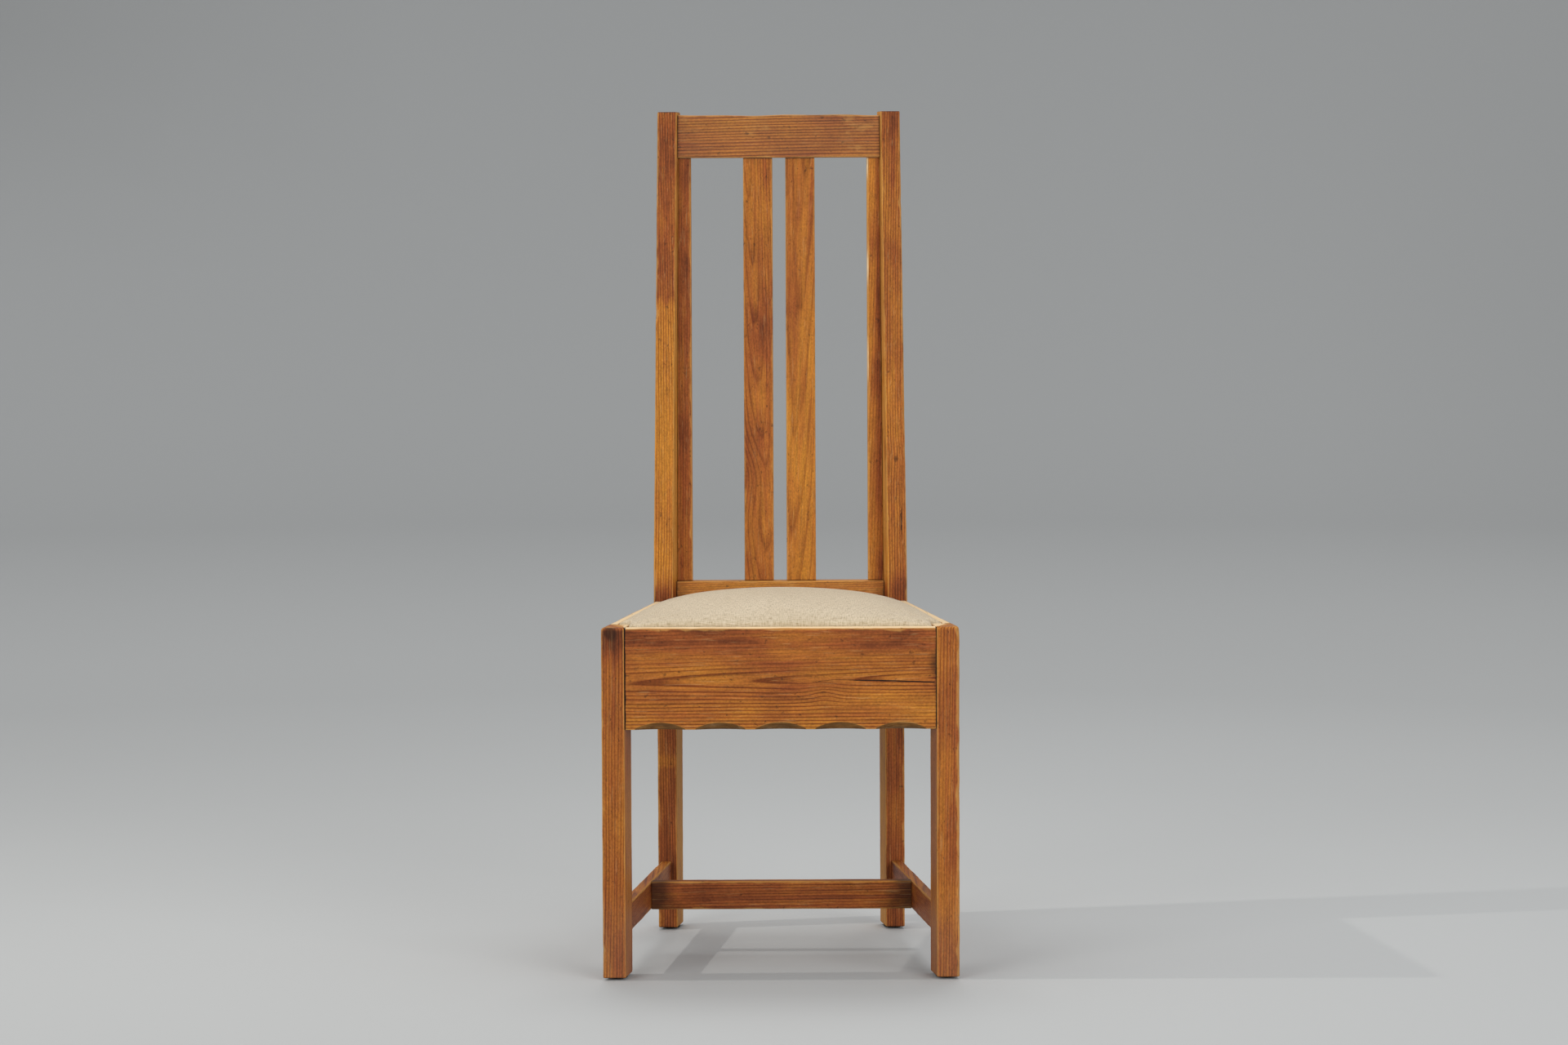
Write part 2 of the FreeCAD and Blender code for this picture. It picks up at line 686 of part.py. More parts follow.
def build_slats():
    """A middle slat and a side slat, raked with the panel and tenoned into the rear and crest rails."""
    side_view = raked(slat_setback, slat_thickness, rear_rail_top, crest_bottom)
    tenon_view = raked(slat_setback + slat_shoulder, slat_thickness - 2 * slat_shoulder,
                       rear_rail_top - slat_tenon_length, crest_bottom + slat_tenon_length)
    middle_tenon, side_tenon = slat_tenons()
    body = new_body("back_slat_left")
    pad(body, "slat", "YZ_Plane", -slat_far, -slat_near, side_view)
    dress(body, "Fillet", "long_arrises", arris_radius, lambda edge: runs_along(edge, Z_AXIS, 100))
    near, width = middle_tenon
    pad(body, "tenons", "YZ_Plane", -near - width, -near, tenon_view)
    keep_pair(body, "back_slat")

    body = new_body("side_slat_left")
    pad(body, "slat", "YZ_Plane", -outer(seat_depth), -side_slat_near, side_view)
    trim_left_to_post(body)
    dress(body, "Fillet", "long_arrises", arris_radius, lambda edge: runs_along(edge, Z_AXIS, 100))
    near, width = side_tenon
    pad(body, "tenons", "YZ_Plane", -near - width, -near, tenon_view)
    keep_pair(body, "side_slat")


def trim_left_to_post(body):
    near = rear_rail_front - OVERSHOOT
    far = overall_depth + OVERSHOOT
    end = [
        (side_slat_gap - post_inner(near), placed(near)),
        (-outer(0), placed(near)),
        (-outer(0), placed(far)),
        (side_slat_gap - post_inner(far), placed(far)),
    ]
    pocket(body, "post_side", "XY_Plane", rear_rail_top - OVERSHOOT, crest_bottom + OVERSHOOT, end)


def build_stretchers():
    """The side stretchers, tenoned from front leg to rear leg, and the cross stretcher between them."""
    body = new_body("side_stretcher_left")
    board = band(stretcher_outer, stretcher_thickness, front_leg_depth, rear_leg_front)
    pad(body, "board", "XY_Plane", stretcher_bottom, stretcher_top, board)
    dress(body, "Fillet", "long_arrises", arris_radius, lambda edge: runs_along(edge, Y_AXIS, 100))
    tenon = band(stretcher_tenon_edge, stretcher_tenon, front_leg_depth - stretcher_tenon_length,
                 rear_leg_front + stretcher_tenon_length)
    pad(body, "tenons", "XY_Plane", stretcher_tenon_bottom, stretcher_tenon_top, tenon)
    cross = upright(cross_tenon_front - fit_gap, cross_tenon_front + tenon_thickness + fit_gap,
                    stretcher_tenon_bottom - fit_gap, stretcher_tenon_top + fit_gap)
    deep_end = -stretcher_inner(cross_middle) - cross_stub - fit_gap
    pocket(body, "cross_mortise", "YZ_Plane", deep_end, OVERSHOOT - stretcher_inner(cross_middle), cross)
    keep_pair(body, "side_stretcher")

    body = new_body("cross_stretcher")
    near = cross_middle - cross_thickness / 2
    far = cross_middle + cross_thickness / 2
    pad(body, "board", "XY_Plane", stretcher_bottom, stretcher_top, bridge(stretcher_inner, near, far))
    dress(body, "Fillet", "long_arrises", arris_radius, lambda edge: runs_along(edge, X_AXIS, 100))
    reach = stretcher_inner(cross_middle) + cross_stub
    tenon = bridge(lambda depth: reach, cross_tenon_front, cross_tenon_front + tenon_thickness)
    pad(body, "tenons", "XY_Plane", stretcher_tenon_bottom, stretcher_tenon_top, tenon)
    keep(body, "cross_stretcher")


TURN_TO = {
    "up": FreeCAD.Rotation(X_AXIS, 0),
    "back": FreeCAD.Rotation(X_AXIS, -90),
    "front": FreeCAD.Rotation(X_AXIS, 90),
    "left": FreeCAD.Rotation(Y_AXIS, -90),
}
STEP_TO = {"up": (0, 0, 1), "back": (0, 1, 0), "front": (0, -1, 0), "left": (-1, 0, 0)}


def peg(name, point, direction, diameter, length, sides):
    """A rod with flat sides that starts at a point and runs in one of the named directions."""
    rod = doc.addObject("Part::Prism", name)
    rod.Placement = FreeCAD.Placement(FreeCAD.Vector(0, 0, 0), TURN_TO[direction])
    for axis, value in zip("xyz", point):
        bind(rod, f"Placement.Base.{axis}", value)
    rod.Polygon = sides
    bind(rod, "Circumradius", diameter / 2)
    bind(rod, "Height", length)
    return rod


def fastener(name, point, direction, head, shank):
    """A headed pin: head and shank are (diameter, length, sides), point the middle of its top."""
    head_diameter, head_height, head_sides = head
    shank_diameter, shank_length, shank_sides = shank
    joined = doc.addObject("Part::Fuse", name)
    joined.Base = peg(name + "_head", point, direction, head_diameter, head_height, head_sides)
    under_head = [as_size(value) + step * head_height for value, step in zip(point, STEP_TO[direction])]
    joined.Tool = peg(name + "_shank", under_head, direction, shank_diameter, shank_length, shank_sides)
    return joined


SCREW_HEAD = (screw_head_diameter, screw_head_height, 12)
SCREW_SHANK = (screw_diameter, screw_shank_in_block + screw_bite, 8)
TACK_HEAD = (tack_head_diameter, tack_head_height, 8)
TACK_SHANK = (tack_diameter, tack_length, 4)


def bore_for_screw(body, name, plane, face, inwards, across, along):
    """A shank hole through the block from a rail's face, then a wider one for the head."""
    before_face = face - inwards * OVERSHOOT
    head_seat = face + inwards * screw_shank_in_block
    far_end = face + inwards * (block_reach + rail_thickness)
    for part, start, end, diameter in (("shank", before_face, head_seat, screw_diameter + 2 * fit_gap),
                                       ("head", head_seat, far_end, screw_head_diameter + 2)):
        low, high = (start, end) if inwards > 0 else (end, start)
        bore(body, f"{name}_{part}", plane, low, high, across, along, diameter)


def build_corner_blocks():
    """Seat blocks glued into the corners under the seat, each with two wood screws into the rails."""
    bottom = rebate_floor - block_height
    high_line = rebate_floor - block_height / 2 + screw_step
    low_line = rebate_floor - block_height / 2 - screw_step
    screws = []

    front_run = front_leg_depth + block_reach
    plan = [
        (block_reach - leg_inner(apron_back), placed(apron_back)),
        (-rail_inner(front_run), placed(front_run)),
        (-rail_inner(front_leg_depth), placed(front_leg_depth)),
        (-leg_inner(front_leg_depth), placed(front_leg_depth)),
        (-leg_inner(apron_back), placed(apron_back)),
    ]
    body = new_body("corner_block_front_left")
    pad(body, "block", "XY_Plane", bottom, rebate_floor, plan)
    across = screw_offset - leg_inner(apron_back)
    bore_for_screw(body, "apron_screw", "XZ_Plane", -placed(apron_back), -1, across, high_line)
    head_top = placed(apron_back + screw_shank_in_block + screw_head_height)
    screws.append(fastener("apron_screw", (across, head_top, high_line), "front", SCREW_HEAD, SCREW_SHANK))
    along = front_leg_depth + screw_offset
    bore_for_screw(body, "rail_screw", "YZ_Plane", -rail_inner(along), 1, placed(along), low_line)
    head_top = screw_shank_in_block + screw_head_height - rail_inner(along)
    point = (head_top, placed(along), low_line)
    screws.append(fastener("front_rail_screw", point, "left", SCREW_HEAD, SCREW_SHANK))
    keep_pair(body, "corner_block_front")

    rear_run = seat_depth - block_reach
    plan = [
        (block_reach - post_inner(rear_rail_front), placed(rear_rail_front)),
        (-post_inner(rear_rail_front), placed(rear_rail_front)),
        (-post_inner(seat_depth), placed(seat_depth)),
        (-rail_inner(seat_depth), placed(seat_depth)),
        (-rail_inner(rear_run), placed(rear_run)),
    ]
    body = new_body("corner_block_rear_left")
    pad(body, "block", "XY_Plane", bottom, rebate_floor, plan)
    across = screw_offset - post_inner(rear_rail_front)
    bore_for_screw(body, "rear_screw", "XZ_Plane", -placed(rear_rail_front), 1, across, high_line)
    head_top = placed(rear_rail_front - screw_shank_in_block - screw_head_height)
    screws.append(fastener("rear_screw", (across, head_top, high_line), "back", SCREW_HEAD, SCREW_SHANK))
    along = seat_depth - screw_offset
    bore_for_screw(body, "rail_screw", "YZ_Plane", -rail_inner(along), 1, placed(along), low_line)
    head_top = screw_shank_in_block + screw_head_height - rail_inner(along)
    point = (head_top, placed(along), low_line)
    screws.append(fastener("rear_rail_screw", point, "left", SCREW_HEAD, SCREW_SHANK))
    keep_pair(body, "corner_block_rear")

    twins = [mirror(screw, screw.Name + "_right") for screw in screws]
    keep(group("corner_block_screws", screws + twins), "corner_block_screws")


def build_glides():
    """Nail-on glides: a round foot disc moulded on a nail that is driven up into the leg's end grain."""
    front_middle = front_leg_depth / 2
    rear_middle = rear_leg_front + rear_leg_depth / 2
    feet = {
        "front": (front_leg_width / 2 - outer(front_middle), placed(front_middle)),
        "rear": (post_width / 2 - outer(rear_middle), placed(rear_middle)),
    }
    half_section = [
        (0, 0),
        (glide_diameter / 2, 0),
        (glide_diameter / 2, glide_height),
        (nail_diameter / 2, glide_height),
        (nail_diameter / 2, glide_height + nail_length),
        (0, glide_height + nail_length),
    ]
    for end, (across, along) in feet.items():
        body = new_body(f"glide_{end}_left")
        turned = body.newObject("PartDesign::Revolution", "turned")
        turned.Profile = outline(body, "half_section", "XZ_Plane", as_size(0), half_section)
        turned.ReferenceAxis = (origin_feature(body, "Z_Axis"), [""])
        turned.Angle = 360
        bind(body, "Placement.Base.x", across)
        bind(body, "Placement.Base.y", along)
        keep_pair(body, f"glide_{end}")


# The loose seat: its plan follows the rebates, legs and posts, less a gap
seat_floor = rebate_floor + seat_rest_gap
seat_frame_bottom = seat_floor + cover_thickness
seat_frame_top = seat_frame_bottom + seat_frame_thickness
seat_frame_middle = seat_frame_bottom + seat_frame_thickness / 2
hessian_bottom = seat_frame_top + 2 * webbing_thickness
pad_bottom = hessian_bottom + hessian_thickness
pad_clear = seat_rest_gap
tack_margin = rail_thickness - rail_land - seat_gap + tack_head_diameter / 2 + tack_rail_gap
cover_turn_under = tack_margin + tack_head_diameter


def seat_lines(inset):
    """Depths of the seat's front, leg, post and rear edges, and its half widths, drawn in by inset."""
    gap = seat_gap + inset
    depths = {
        "front": apron_setback + rail_land + gap,
        "leg": front_leg_depth + gap,
        "post": seat_depth - gap,
        "rear": rear_rail_front - gap,
    }

    def side(depth):
        return outer(depth) - side_rail_reveal - rail_land - gap

    def between_legs(depth):
        return leg_inner(depth) - gap

    def between_posts(depth):
        return post_inner(depth) - gap

    return depths, side, between_legs, between_posts


def both_sides(half):
    """Close an outline from the points of its left half, given from front to back as (half width, depth)."""
    left = [(-width, placed(depth)) for width, depth in half]
    right = [(width, placed(depth)) for width, depth in reversed(half)]
    return left + right


def seat_plan(inset):
    depths, side, between_legs, between_posts = seat_lines(inset)
    return both_sides([
        (between_legs(depths["front"]), depths["front"]),
        (between_legs(depths["leg"]), depths["leg"]),
        (side(depths["leg"]), depths["leg"]),
        (side(depths["post"]), depths["post"]),
        (between_posts(depths["post"]), depths["post"]),
        (between_posts(depths["rear"]), depths["rear"]),
    ])


def build_seat_frame():
    """The loose seat's softwood frame: four bars, half-lapped behind the legs and before the posts."""
    depths, side, between_legs, between_posts = seat_lines(cover_thickness)
    front_lap = depths["leg"] + seat_lap
    rear_lap = depths["post"] - seat_lap

    def lap_plan(hand, near, far):
        corners = band(side, seat_frame_width, near, far)
        return [(-hand * across, along) for across, along in corners]

    front = both_sides([
        (between_legs(depths["front"]), depths["front"]),
        (between_legs(depths["leg"]), depths["leg"]),
        (side(depths["leg"]), depths["leg"]),
        (side(front_lap), front_lap),
    ])
    rear = both_sides([
        (side(rear_lap), rear_lap),
        (side(depths["post"]), depths["post"]),
        (between_posts(depths["post"]), depths["post"]),
        (between_posts(depths["rear"]), depths["rear"]),
    ])
    for name, plan, near, far in (("seat_frame_front", front, depths["leg"], front_lap),
                                  ("seat_frame_rear", rear, rear_lap, depths["post"])):
        body = new_body(name)
        pad(body, "bar", "XY_Plane", seat_frame_bottom, seat_frame_top, plan)
        for hand in BOTH_SIDES:
            label = "lap_left" if hand == LEFT else "lap_right"
            pocket(body, label, "XY_Plane", seat_frame_bottom, seat_frame_middle, lap_plan(hand, near, far))
        keep(body, name)

    body = new_body("seat_frame_left")
    bar = band(side, seat_frame_width, depths["leg"], depths["post"])
    pad(body, "bar", "XY_Plane", seat_frame_bottom, seat_frame_top, bar)
    for label, near, far in (("front_lap", depths["leg"], front_lap), ("rear_lap", rear_lap, depths["post"])):
        pocket(body, label, "XY_Plane", seat_frame_middle, seat_frame_top, lap_plan(LEFT, near, far))
    keep_pair(body, "seat_frame")


def build_webbing():
    """Jute straps: three from front to back flat on the frame, three across that climb over them."""
    depths, side, between_legs, between_posts = seat_lines(cover_thickness + webbing_end)
    lengthwise = []
    for number in (-1, 0, 1):
        body = new_body(f"strap_lengthwise_{number + 2}")
        low = number * webbing_spacing - webbing_width / 2
        high = number * webbing_spacing + webbing_width / 2
        plan = [(low, placed(depths["front"])), (high, placed(depths["front"])),
                (high, placed(depths["rear"])), (low, placed(depths["rear"]))]
        pad(body, "strap", "XY_Plane", seat_frame_top, seat_frame_top + webbing_thickness, plan)
        lengthwise.append(body)
    keep(group("webbing_lengthwise", lengthwise), "webbing_lengthwise")

    crosswise = []
    middle = (front_leg_depth + seat_depth) / 2
    climb = webbing_spacing + webbing_width / 2 + webbing_ramp / 2
    landing = climb + webbing_ramp
    low = seat_frame_top
    step = webbing_thickness
    for number in (-1, 0, 1):
        centre = middle + number * webbing_pitch
        reach = side(centre + webbing_width / 2)
        profile = [(-reach, low), (-landing, low), (-climb, low + step), (climb, low + step), (landing, low),
                   (reach, low), (reach, low + step), (landing, low + step), (climb, low + 2 * step),
                   (-climb, low + 2 * step), (-landing, low + step), (-reach, low + step)]
        body = new_body(f"strap_crosswise_{number + 2}")
        near = -placed(centre + webbing_width / 2)
        far = -placed(centre - webbing_width / 2)
        pad(body, "strap", "XZ_Plane", near, far, profile)
        crosswise.append(body)
    keep(group("webbing_crosswise", crosswise), "webbing_crosswise")


def build_hessian():
    """The base cloth, laid over the webbing."""
    body = new_body("seat_hessian")
    plan = seat_plan(cover_thickness + hessian_margin)
    pad(body, "cloth", "XY_Plane", hessian_bottom, pad_bottom, plan)
    keep(body, "seat_hessian")


# Where the crown's cross sections lie, as shares of the way from the seat's front edge to its rear edge
CROWN_SECTIONS = (0, 0.3, 0.7, 1)


def crowned(name, inset, wall, swell):
    """A crowned form over the whole seat, cut out around the legs and posts. It is lofted through cross
    sections with an upright wall between the given heights, drawn-in sides and an arched top."""
    depths, side, between_legs, between_posts = seat_lines(inset)
    length = depths["rear"] - depths["front"]
    body = new_body(name)
    sections = []
    for number, share in enumerate(CROWN_SECTIONS):
        depth = depths["front"] + share * length
        rise = crown_height * (1 - (2 * share - 1) ** 2) + swell
        edge = pad_bottom + pad_edge + swell
        base = side(depth)
        shoulder = base - pad_draw_in
        arch = rise + edge_arch
        radius = (shoulder * shoulder + arch * arch) / (2 * arch)
        section = [(base, height) for height in wall] + [(shoulder, edge), (-shoulder, edge)]
        section += [(-base, height) for height in reversed(wall)]
        arch_edge = {len(wall): (radius, RIGHT)}
        sections.append(outline(body, f"section_{number}", "XZ_Plane", -placed(depth), section, arch_edge))
    loft = body.newObject("PartDesign::AdditiveLoft", "crown")
    loft.Profile = sections[0]
    loft.Sections = sections[1:]
    loft.Ruled = False
    below = wall[0] - OVERSHOOT
    above = pad_bottom + pad_edge + 2 * crown_height
    beyond = outer(0)
    for hand, label in ((LEFT, "left"), (RIGHT, "right")):
        leg = [(hand * between_legs(as_size(0)), placed(0)), (hand * beyond, placed(0)),
               (hand * beyond, placed(depths["leg"])),
               (hand * between_legs(depths["leg"]), placed(depths["leg"]))]
        pocket(body, f"leg_notch_{label}", "XY_Plane", below, above, leg)
        post = [(hand * between_posts(depths["post"]), placed(depths["post"])),
                (hand * beyond, placed(depths["post"])), (hand * beyond, placed(overall_depth)),
                (hand * between_posts(overall_depth), placed(overall_depth))]
        pocket(body, f"post_notch_{label}", "XY_Plane", below, above, post)
    return body


def build_upholstery():
    """The pad, and the linen cover that is drawn over it and turned under the seat frame."""
    keep(crowned("seat_stuffing", cover_thickness + pad_clear, [pad_bottom], as_size(0)), "seat_stuffing")
    outside = crowned("cover_outside", as_size(0), [seat_floor, pad_bottom], cover_thickness + pad_clear)
    inside = crowned("cover_inside", cover_thickness, [seat_frame_bottom, pad_bottom], pad_clear)
    opening = new_body("cover_opening")
    plan = seat_plan(cover_turn_under)
    pad(opening, "opening", "XY_Plane", seat_floor - OVERSHOOT, seat_frame_middle, plan)
    shell = doc.addObject("Part::Cut", "cover_shell")
    shell.Base = outside
    shell.Tool = inside
    cover = doc.addObject("Part::Cut", "seat_cover")
    cover.Base = shell
    cover.Tool = opening
    keep(cover, "seat_cover")


def spread(low, high, count):
    return [low + number / (count - 1) * (high - low) for number in range(count)]


def build_tacks():
    """Tacks through the turned-under cover into the seat frame, clear of the corner blocks."""
    depths, side, between_legs, between_posts = seat_lines(tack_margin)
    front_reach = leg_inner(apron_back) - block_reach - tack_clear
    rear_reach = post_inner(rear_rail_front) - block_reach - tack_clear
    places = [(across, depths["front"]) for across in spread(-front_reach, front_reach, 6)]
    places += [(across, depths["rear"]) for across in spread(-rear_reach, rear_reach, 4)]
    near = front_leg_depth + block_reach + tack_clear
    far = seat_depth - block_reach - tack_clear
    for hand in BOTH_SIDES:
        places += [(hand * side(depth), depth) for depth in spread(near, far, 4)]
    tacks = []
    for number, (across, depth) in enumerate(places):
        point = (across, placed(depth), seat_floor - tack_head_height)
        tacks.append(fastener(f"tack_{number}", point, "up", TACK_HEAD, TACK_SHANK))
    keep(group("cover_tacks", tacks), "cover_tacks")


build_front_legs()
build_rear_posts()
build_front_apron()
build_side_rails()
build_rear_rail()
build_crest_rail()
build_slats()
build_stretchers()
build_corner_blocks()
build_glides()
build_seat_frame()
build_webbing()
build_hessian()
build_upholstery()
build_tacks()
doc.recompute()

for item in doc.Objects:
    if "Invalid" in item.State or "Error" in item.State:
        raise ValueError(f"{item.Label} failed: {item.State}")
for name, feature in nodes.items():
    if feature.Shape.isNull() or not feature.Shape.isValid():
        raise ValueError(f"{name} is not a valid shape")
os.makedirs("parts", exist_ok=True)
for name, feature in nodes.items():
    feature.Shape.exportStep(f"parts/{name}.step")
print(len(nodes), "pieces written")
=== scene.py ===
import math

import bmesh
import bpy
import numpy as np
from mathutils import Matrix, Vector


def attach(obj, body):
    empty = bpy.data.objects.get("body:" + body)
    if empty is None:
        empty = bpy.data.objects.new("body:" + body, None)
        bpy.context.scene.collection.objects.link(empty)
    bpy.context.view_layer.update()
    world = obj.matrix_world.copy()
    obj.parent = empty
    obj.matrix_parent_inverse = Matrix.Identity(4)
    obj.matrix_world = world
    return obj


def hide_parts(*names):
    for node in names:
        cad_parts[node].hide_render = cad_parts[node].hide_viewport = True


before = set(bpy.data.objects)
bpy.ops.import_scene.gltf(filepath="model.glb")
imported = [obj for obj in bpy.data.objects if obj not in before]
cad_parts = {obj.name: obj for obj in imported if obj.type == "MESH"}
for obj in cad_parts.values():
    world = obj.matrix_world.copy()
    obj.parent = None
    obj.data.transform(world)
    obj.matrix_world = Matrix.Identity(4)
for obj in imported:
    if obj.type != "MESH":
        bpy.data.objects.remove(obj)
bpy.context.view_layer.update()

# The front legs: two straight pine uprights, sawn with their sides leaning in towards the back, arrises
# softened by a century of hands and feet. Lengths in this file are in millimetres until a mesh is made of
# them. The chair's plan narrows towards the back, and depths are counted from the front faces of these legs.
MM = 0.001
HALF_FRONT = 227
HALF_REAR = 171
SEAT_DEPTH = 375
SIDE_LEAN = (HALF_FRONT - HALF_REAR) / SEAT_DEPTH
HALF_DEPTH = 227.5
SEAT_HEIGHT = 450
GLIDE_HEIGHT = 3
LEG_WIDTH = 29
LEG_DEPTH = 48
LEG_REVEAL = 0.15
RING = 3.4


def outer(depth):
    """Half the width across the outer faces of the legs, rails and posts."""
    return HALF_FRONT - SIDE_LEAN * depth


def linear(hex_colour):
    """An sRGB hex colour as a linear colour with alpha."""
    parts = [int(hex_colour[i:i + 2], 16) / 255 for i in (1, 3, 5)]
    return [v / 12.92 if v <= 0.04045 else ((v + 0.055) / 1.055) ** 2.4 for v in parts] + [1]


def add(tree, kind, inputs=None, stops=(), **settings):
    """Add a node with its settings and a ramp's colour stops, and set or link its inputs. A node given as a
    value is linked by its first output, and a hex colour is made linear."""
    node = tree.nodes.new(kind)
    for name, value in settings.items():
        setattr(node, name, value)
    if stops:
        elements = node.color_ramp.elements
        while len(elements) < len(stops):
            elements.new(1)
        for element, (position, colour) in zip(elements, stops):
            element.position = position
            element.color = linear(colour) if isinstance(colour, str) else colour
    for socket, value in (inputs or {}).items():
        if isinstance(value, bpy.types.Node):
            value = next(output for output in value.outputs if output.enabled)
        if isinstance(value, bpy.types.NodeSocket):
            tree.links.new(value, node.inputs[socket])
        elif isinstance(value, str) and value.startswith("#"):
            node.inputs[socket].default_value = linear(value)
        else:
            node.inputs[socket].default_value = value
    return node


def new_material(name):
    """A material and its node tree, with no nodes in it."""
    material = bpy.data.materials.new(name)
    material.use_nodes = True
    material.node_tree.nodes.clear()
    return material, material.node_tree


def stained_pine():
    """Scots pine, stained red-brown and shellacked, worn back to golden wood on the arrises. The eye sees
    dark latewood lines every few millimetres, a satin sheen, dirt in the joints and a patchy old finish.
    Growth rings are drawn in the log that each board was sawn from, so they run on from face to face and
    show as arcs on the end grain. Some boards' attributes also paint light on faces: a thinner stain and
    golden or bare wood."""
    material, tree = new_material("shellacked_stained_pine")
    log = add(tree, "ShaderNodeAttribute", attribute_name="log").outputs["Vector"]
    # The worn and stain attributes also carry painted light: thinner stain, golden or bare wood on some faces
    worn, grime, stain_and_light, knot, split, figure, swell, bloom = [
        add(tree, "ShaderNodeAttribute", attribute_name=name).outputs["Fac"]
        for name in ("worn", "grime", "stain_and_light", "knot", "split", "figure", "swell", "bloom")]

    # Noise with so many bumps per metre across and along the grain, then its detail and its roughness
    noise = {}
    for use, (across, along, detail, roughness) in {
        "wander": (16, 2.6, 2, 0.5), "waver": (70, 4, 2, 0.5), "fade": (26, 5, 3, 0.5),
        "fibre": (640, 9, 3, 0.6), "streak": (150, 3, 3, 0.5), "blotch": (22, 9, 5, 0.62),
        "mottle": (540, 330, 2, 0.5), "rub_and_light": (55, 26, 4, 0.62), "bare_and_light": (90, 14, 4, 0.62),
        "darkening": (60, 34, 4, 0.65), "dents": (210, 120, 2, 0.5), "flecks": (330, 20, 3, 0.6),
        "core": (160, 90, 2, 0.5), "gap": (90, 22, 2, 0.5), "scratch": (760, 22, 2, 0.5),
    }.items():
        stretched = add(tree, "ShaderNodeVectorMath", {0: log, 1: (across, across, along)},
                        operation="MULTIPLY")
        noise[use] = add(tree, "ShaderNodeTexNoise", {"Vector": stretched, "Scale": 1, "Detail": detail,
                                                      "Roughness": roughness})

    # What covers the wood: a board's own attribute, roughened by so much noise, from nothing at the first
    # limit to the most that it hides at the second
    cover = {}
    for use, (attribute, strength, none, full, most) in {
        "rub_and_light": (worn, 1.5, 1.25, 1.7, 0.5), "bare_and_light": (worn, 1.2, 1.75, 2.3, 0.9),
        "darkening": (grime, 0.9, 0.7, 1.4, 0.8), "core": (knot, 0.006, 0.005, 0.001, 0.75),
        "dents": (0, 1, 0.66, 0.74, 0.5), "flecks": (0, 1, 0.62, 0.76, 0.28),
        "scratch": (0, 1, 0.62, 0.7, 0.15),
    }.items():
        rough = add(tree, "ShaderNodeMath", {0: noise[use], 1: strength, 2: attribute},
                    operation="MULTIPLY_ADD")
        cover[use] = add(tree, "ShaderNodeMapRange", {"Value": rough, "From Min": none, "From Max": full,
                                                      "To Max": most}, interpolation_type="SMOOTHSTEP")

    # Rings 3.4 mm apart, unless a board's log is scaled, that wander by a few millimetres, and bend round the
    # knots
    flat = add(tree, "ShaderNodeVectorMath", {0: log, 1: (1, 1, 0), 2: (-0.003, -0.003, 0)},
               operation="MULTIPLY_ADD")
    flat = add(tree, "ShaderNodeVectorMath",
               {0: noise["wander"].outputs["Color"], 1: (0.006, 0.006, 0), 2: flat}, operation="MULTIPLY_ADD")
    radius = add(tree, "ShaderNodeVectorMath", {0: flat}, operation="LENGTH").outputs["Value"]
    radius = add(tree, "ShaderNodeMath", {0: radius, 1: swell}, operation="ADD")
    rings = add(tree, "ShaderNodeMath", {0: radius, 1: RING * MM}, operation="DIVIDE")
    rings = add(tree, "ShaderNodeMath", {0: noise["waver"], 1: 0.8, 2: rings}, operation="MULTIPLY_ADD")
    year = add(tree, "ShaderNodeMath", {0: rings}, operation="FRACT")
    late = add(tree, "ShaderNodeValToRGB", {0: year}, stops=[
        (part, (dark, dark, dark, 1))
        for part, dark in ((0, 0.35), (0.08, 0.04), (0.6, 0.1), (0.84, 0.8), (0.94, 1), (1, 0.35))])
    fade = add(tree, "ShaderNodeMapRange",
               {"Value": noise["fade"], "From Min": 0.3, "From Max": 0.62, "To Min": 0.5},
               interpolation_type="SMOOTHSTEP")
    for strength in (fade, figure):
        late = add(tree, "ShaderNodeMath", {0: late, 1: strength}, operation="MULTIPLY")

    # Stain: golden where it has worn thin and where light is painted on, red-brown where the old finish is
    # still thick
    depth = stain_and_light
    for use, strength in (("blotch", 1.3), ("streak", 0.9)):
        depth = add(tree, "ShaderNodeMath", {0: noise[use], 1: strength, 2: depth}, operation="MULTIPLY_ADD")
    depth = add(tree, "ShaderNodeMath", {0: depth, 1: 1.1}, operation="SUBTRACT", use_clamp=True)
    early_wood = add(tree, "ShaderNodeValToRGB", {0: depth}, stops=[
        (0, "#BE7D2A"), (0.4, "#AA6727"), (0.75, "#8F4C22"), (1, "#683318")])
    late_wood = add(tree, "ShaderNodeValToRGB", {0: depth}, stops=[
        (0, "#874815"), (0.4, "#713712"), (0.75, "#592610"), (1, "#3C1B0C")])
    wood = add(tree, "ShaderNodeMix", {0: late, 6: early_wood, 7: late_wood}, data_type="RGBA")
    shade = -0.26
    for use, strength in (("fibre", 1.1), ("streak", 0.5), ("mottle", 0.9)):
        shade = add(tree, "ShaderNodeMath", {0: noise[use], 1: strength, 2: shade}, operation="MULTIPLY_ADD")
    wood = add(tree, "ShaderNodeMix", {0: 1.0, 6: wood, 7: shade}, data_type="RGBA", blend_type="MULTIPLY")

    # Dirt with small dark dents and knots in it, and cracks a millimetre wide
    darkening = cover["darkening"]
    for use in ("dents", "flecks", "core"):
        darkening = add(tree, "ShaderNodeMath", {0: darkening, 1: cover[use]}, operation="MAXIMUM")
    gap = add(tree, "ShaderNodeMath", {0: noise["gap"], 1: 0.0024, 2: split}, operation="MULTIPLY_ADD")
    gap = add(tree, "ShaderNodeMath", {0: gap, 1: 0.0012}, operation="SUBTRACT")
    gap = add(tree, "ShaderNodeMath", {0: gap}, operation="ABSOLUTE")
    gap = add(tree, "ShaderNodeMapRange", {"Value": gap, "From Min": 0.001, "From Max": 0.0005},
              interpolation_type="SMOOTHSTEP")
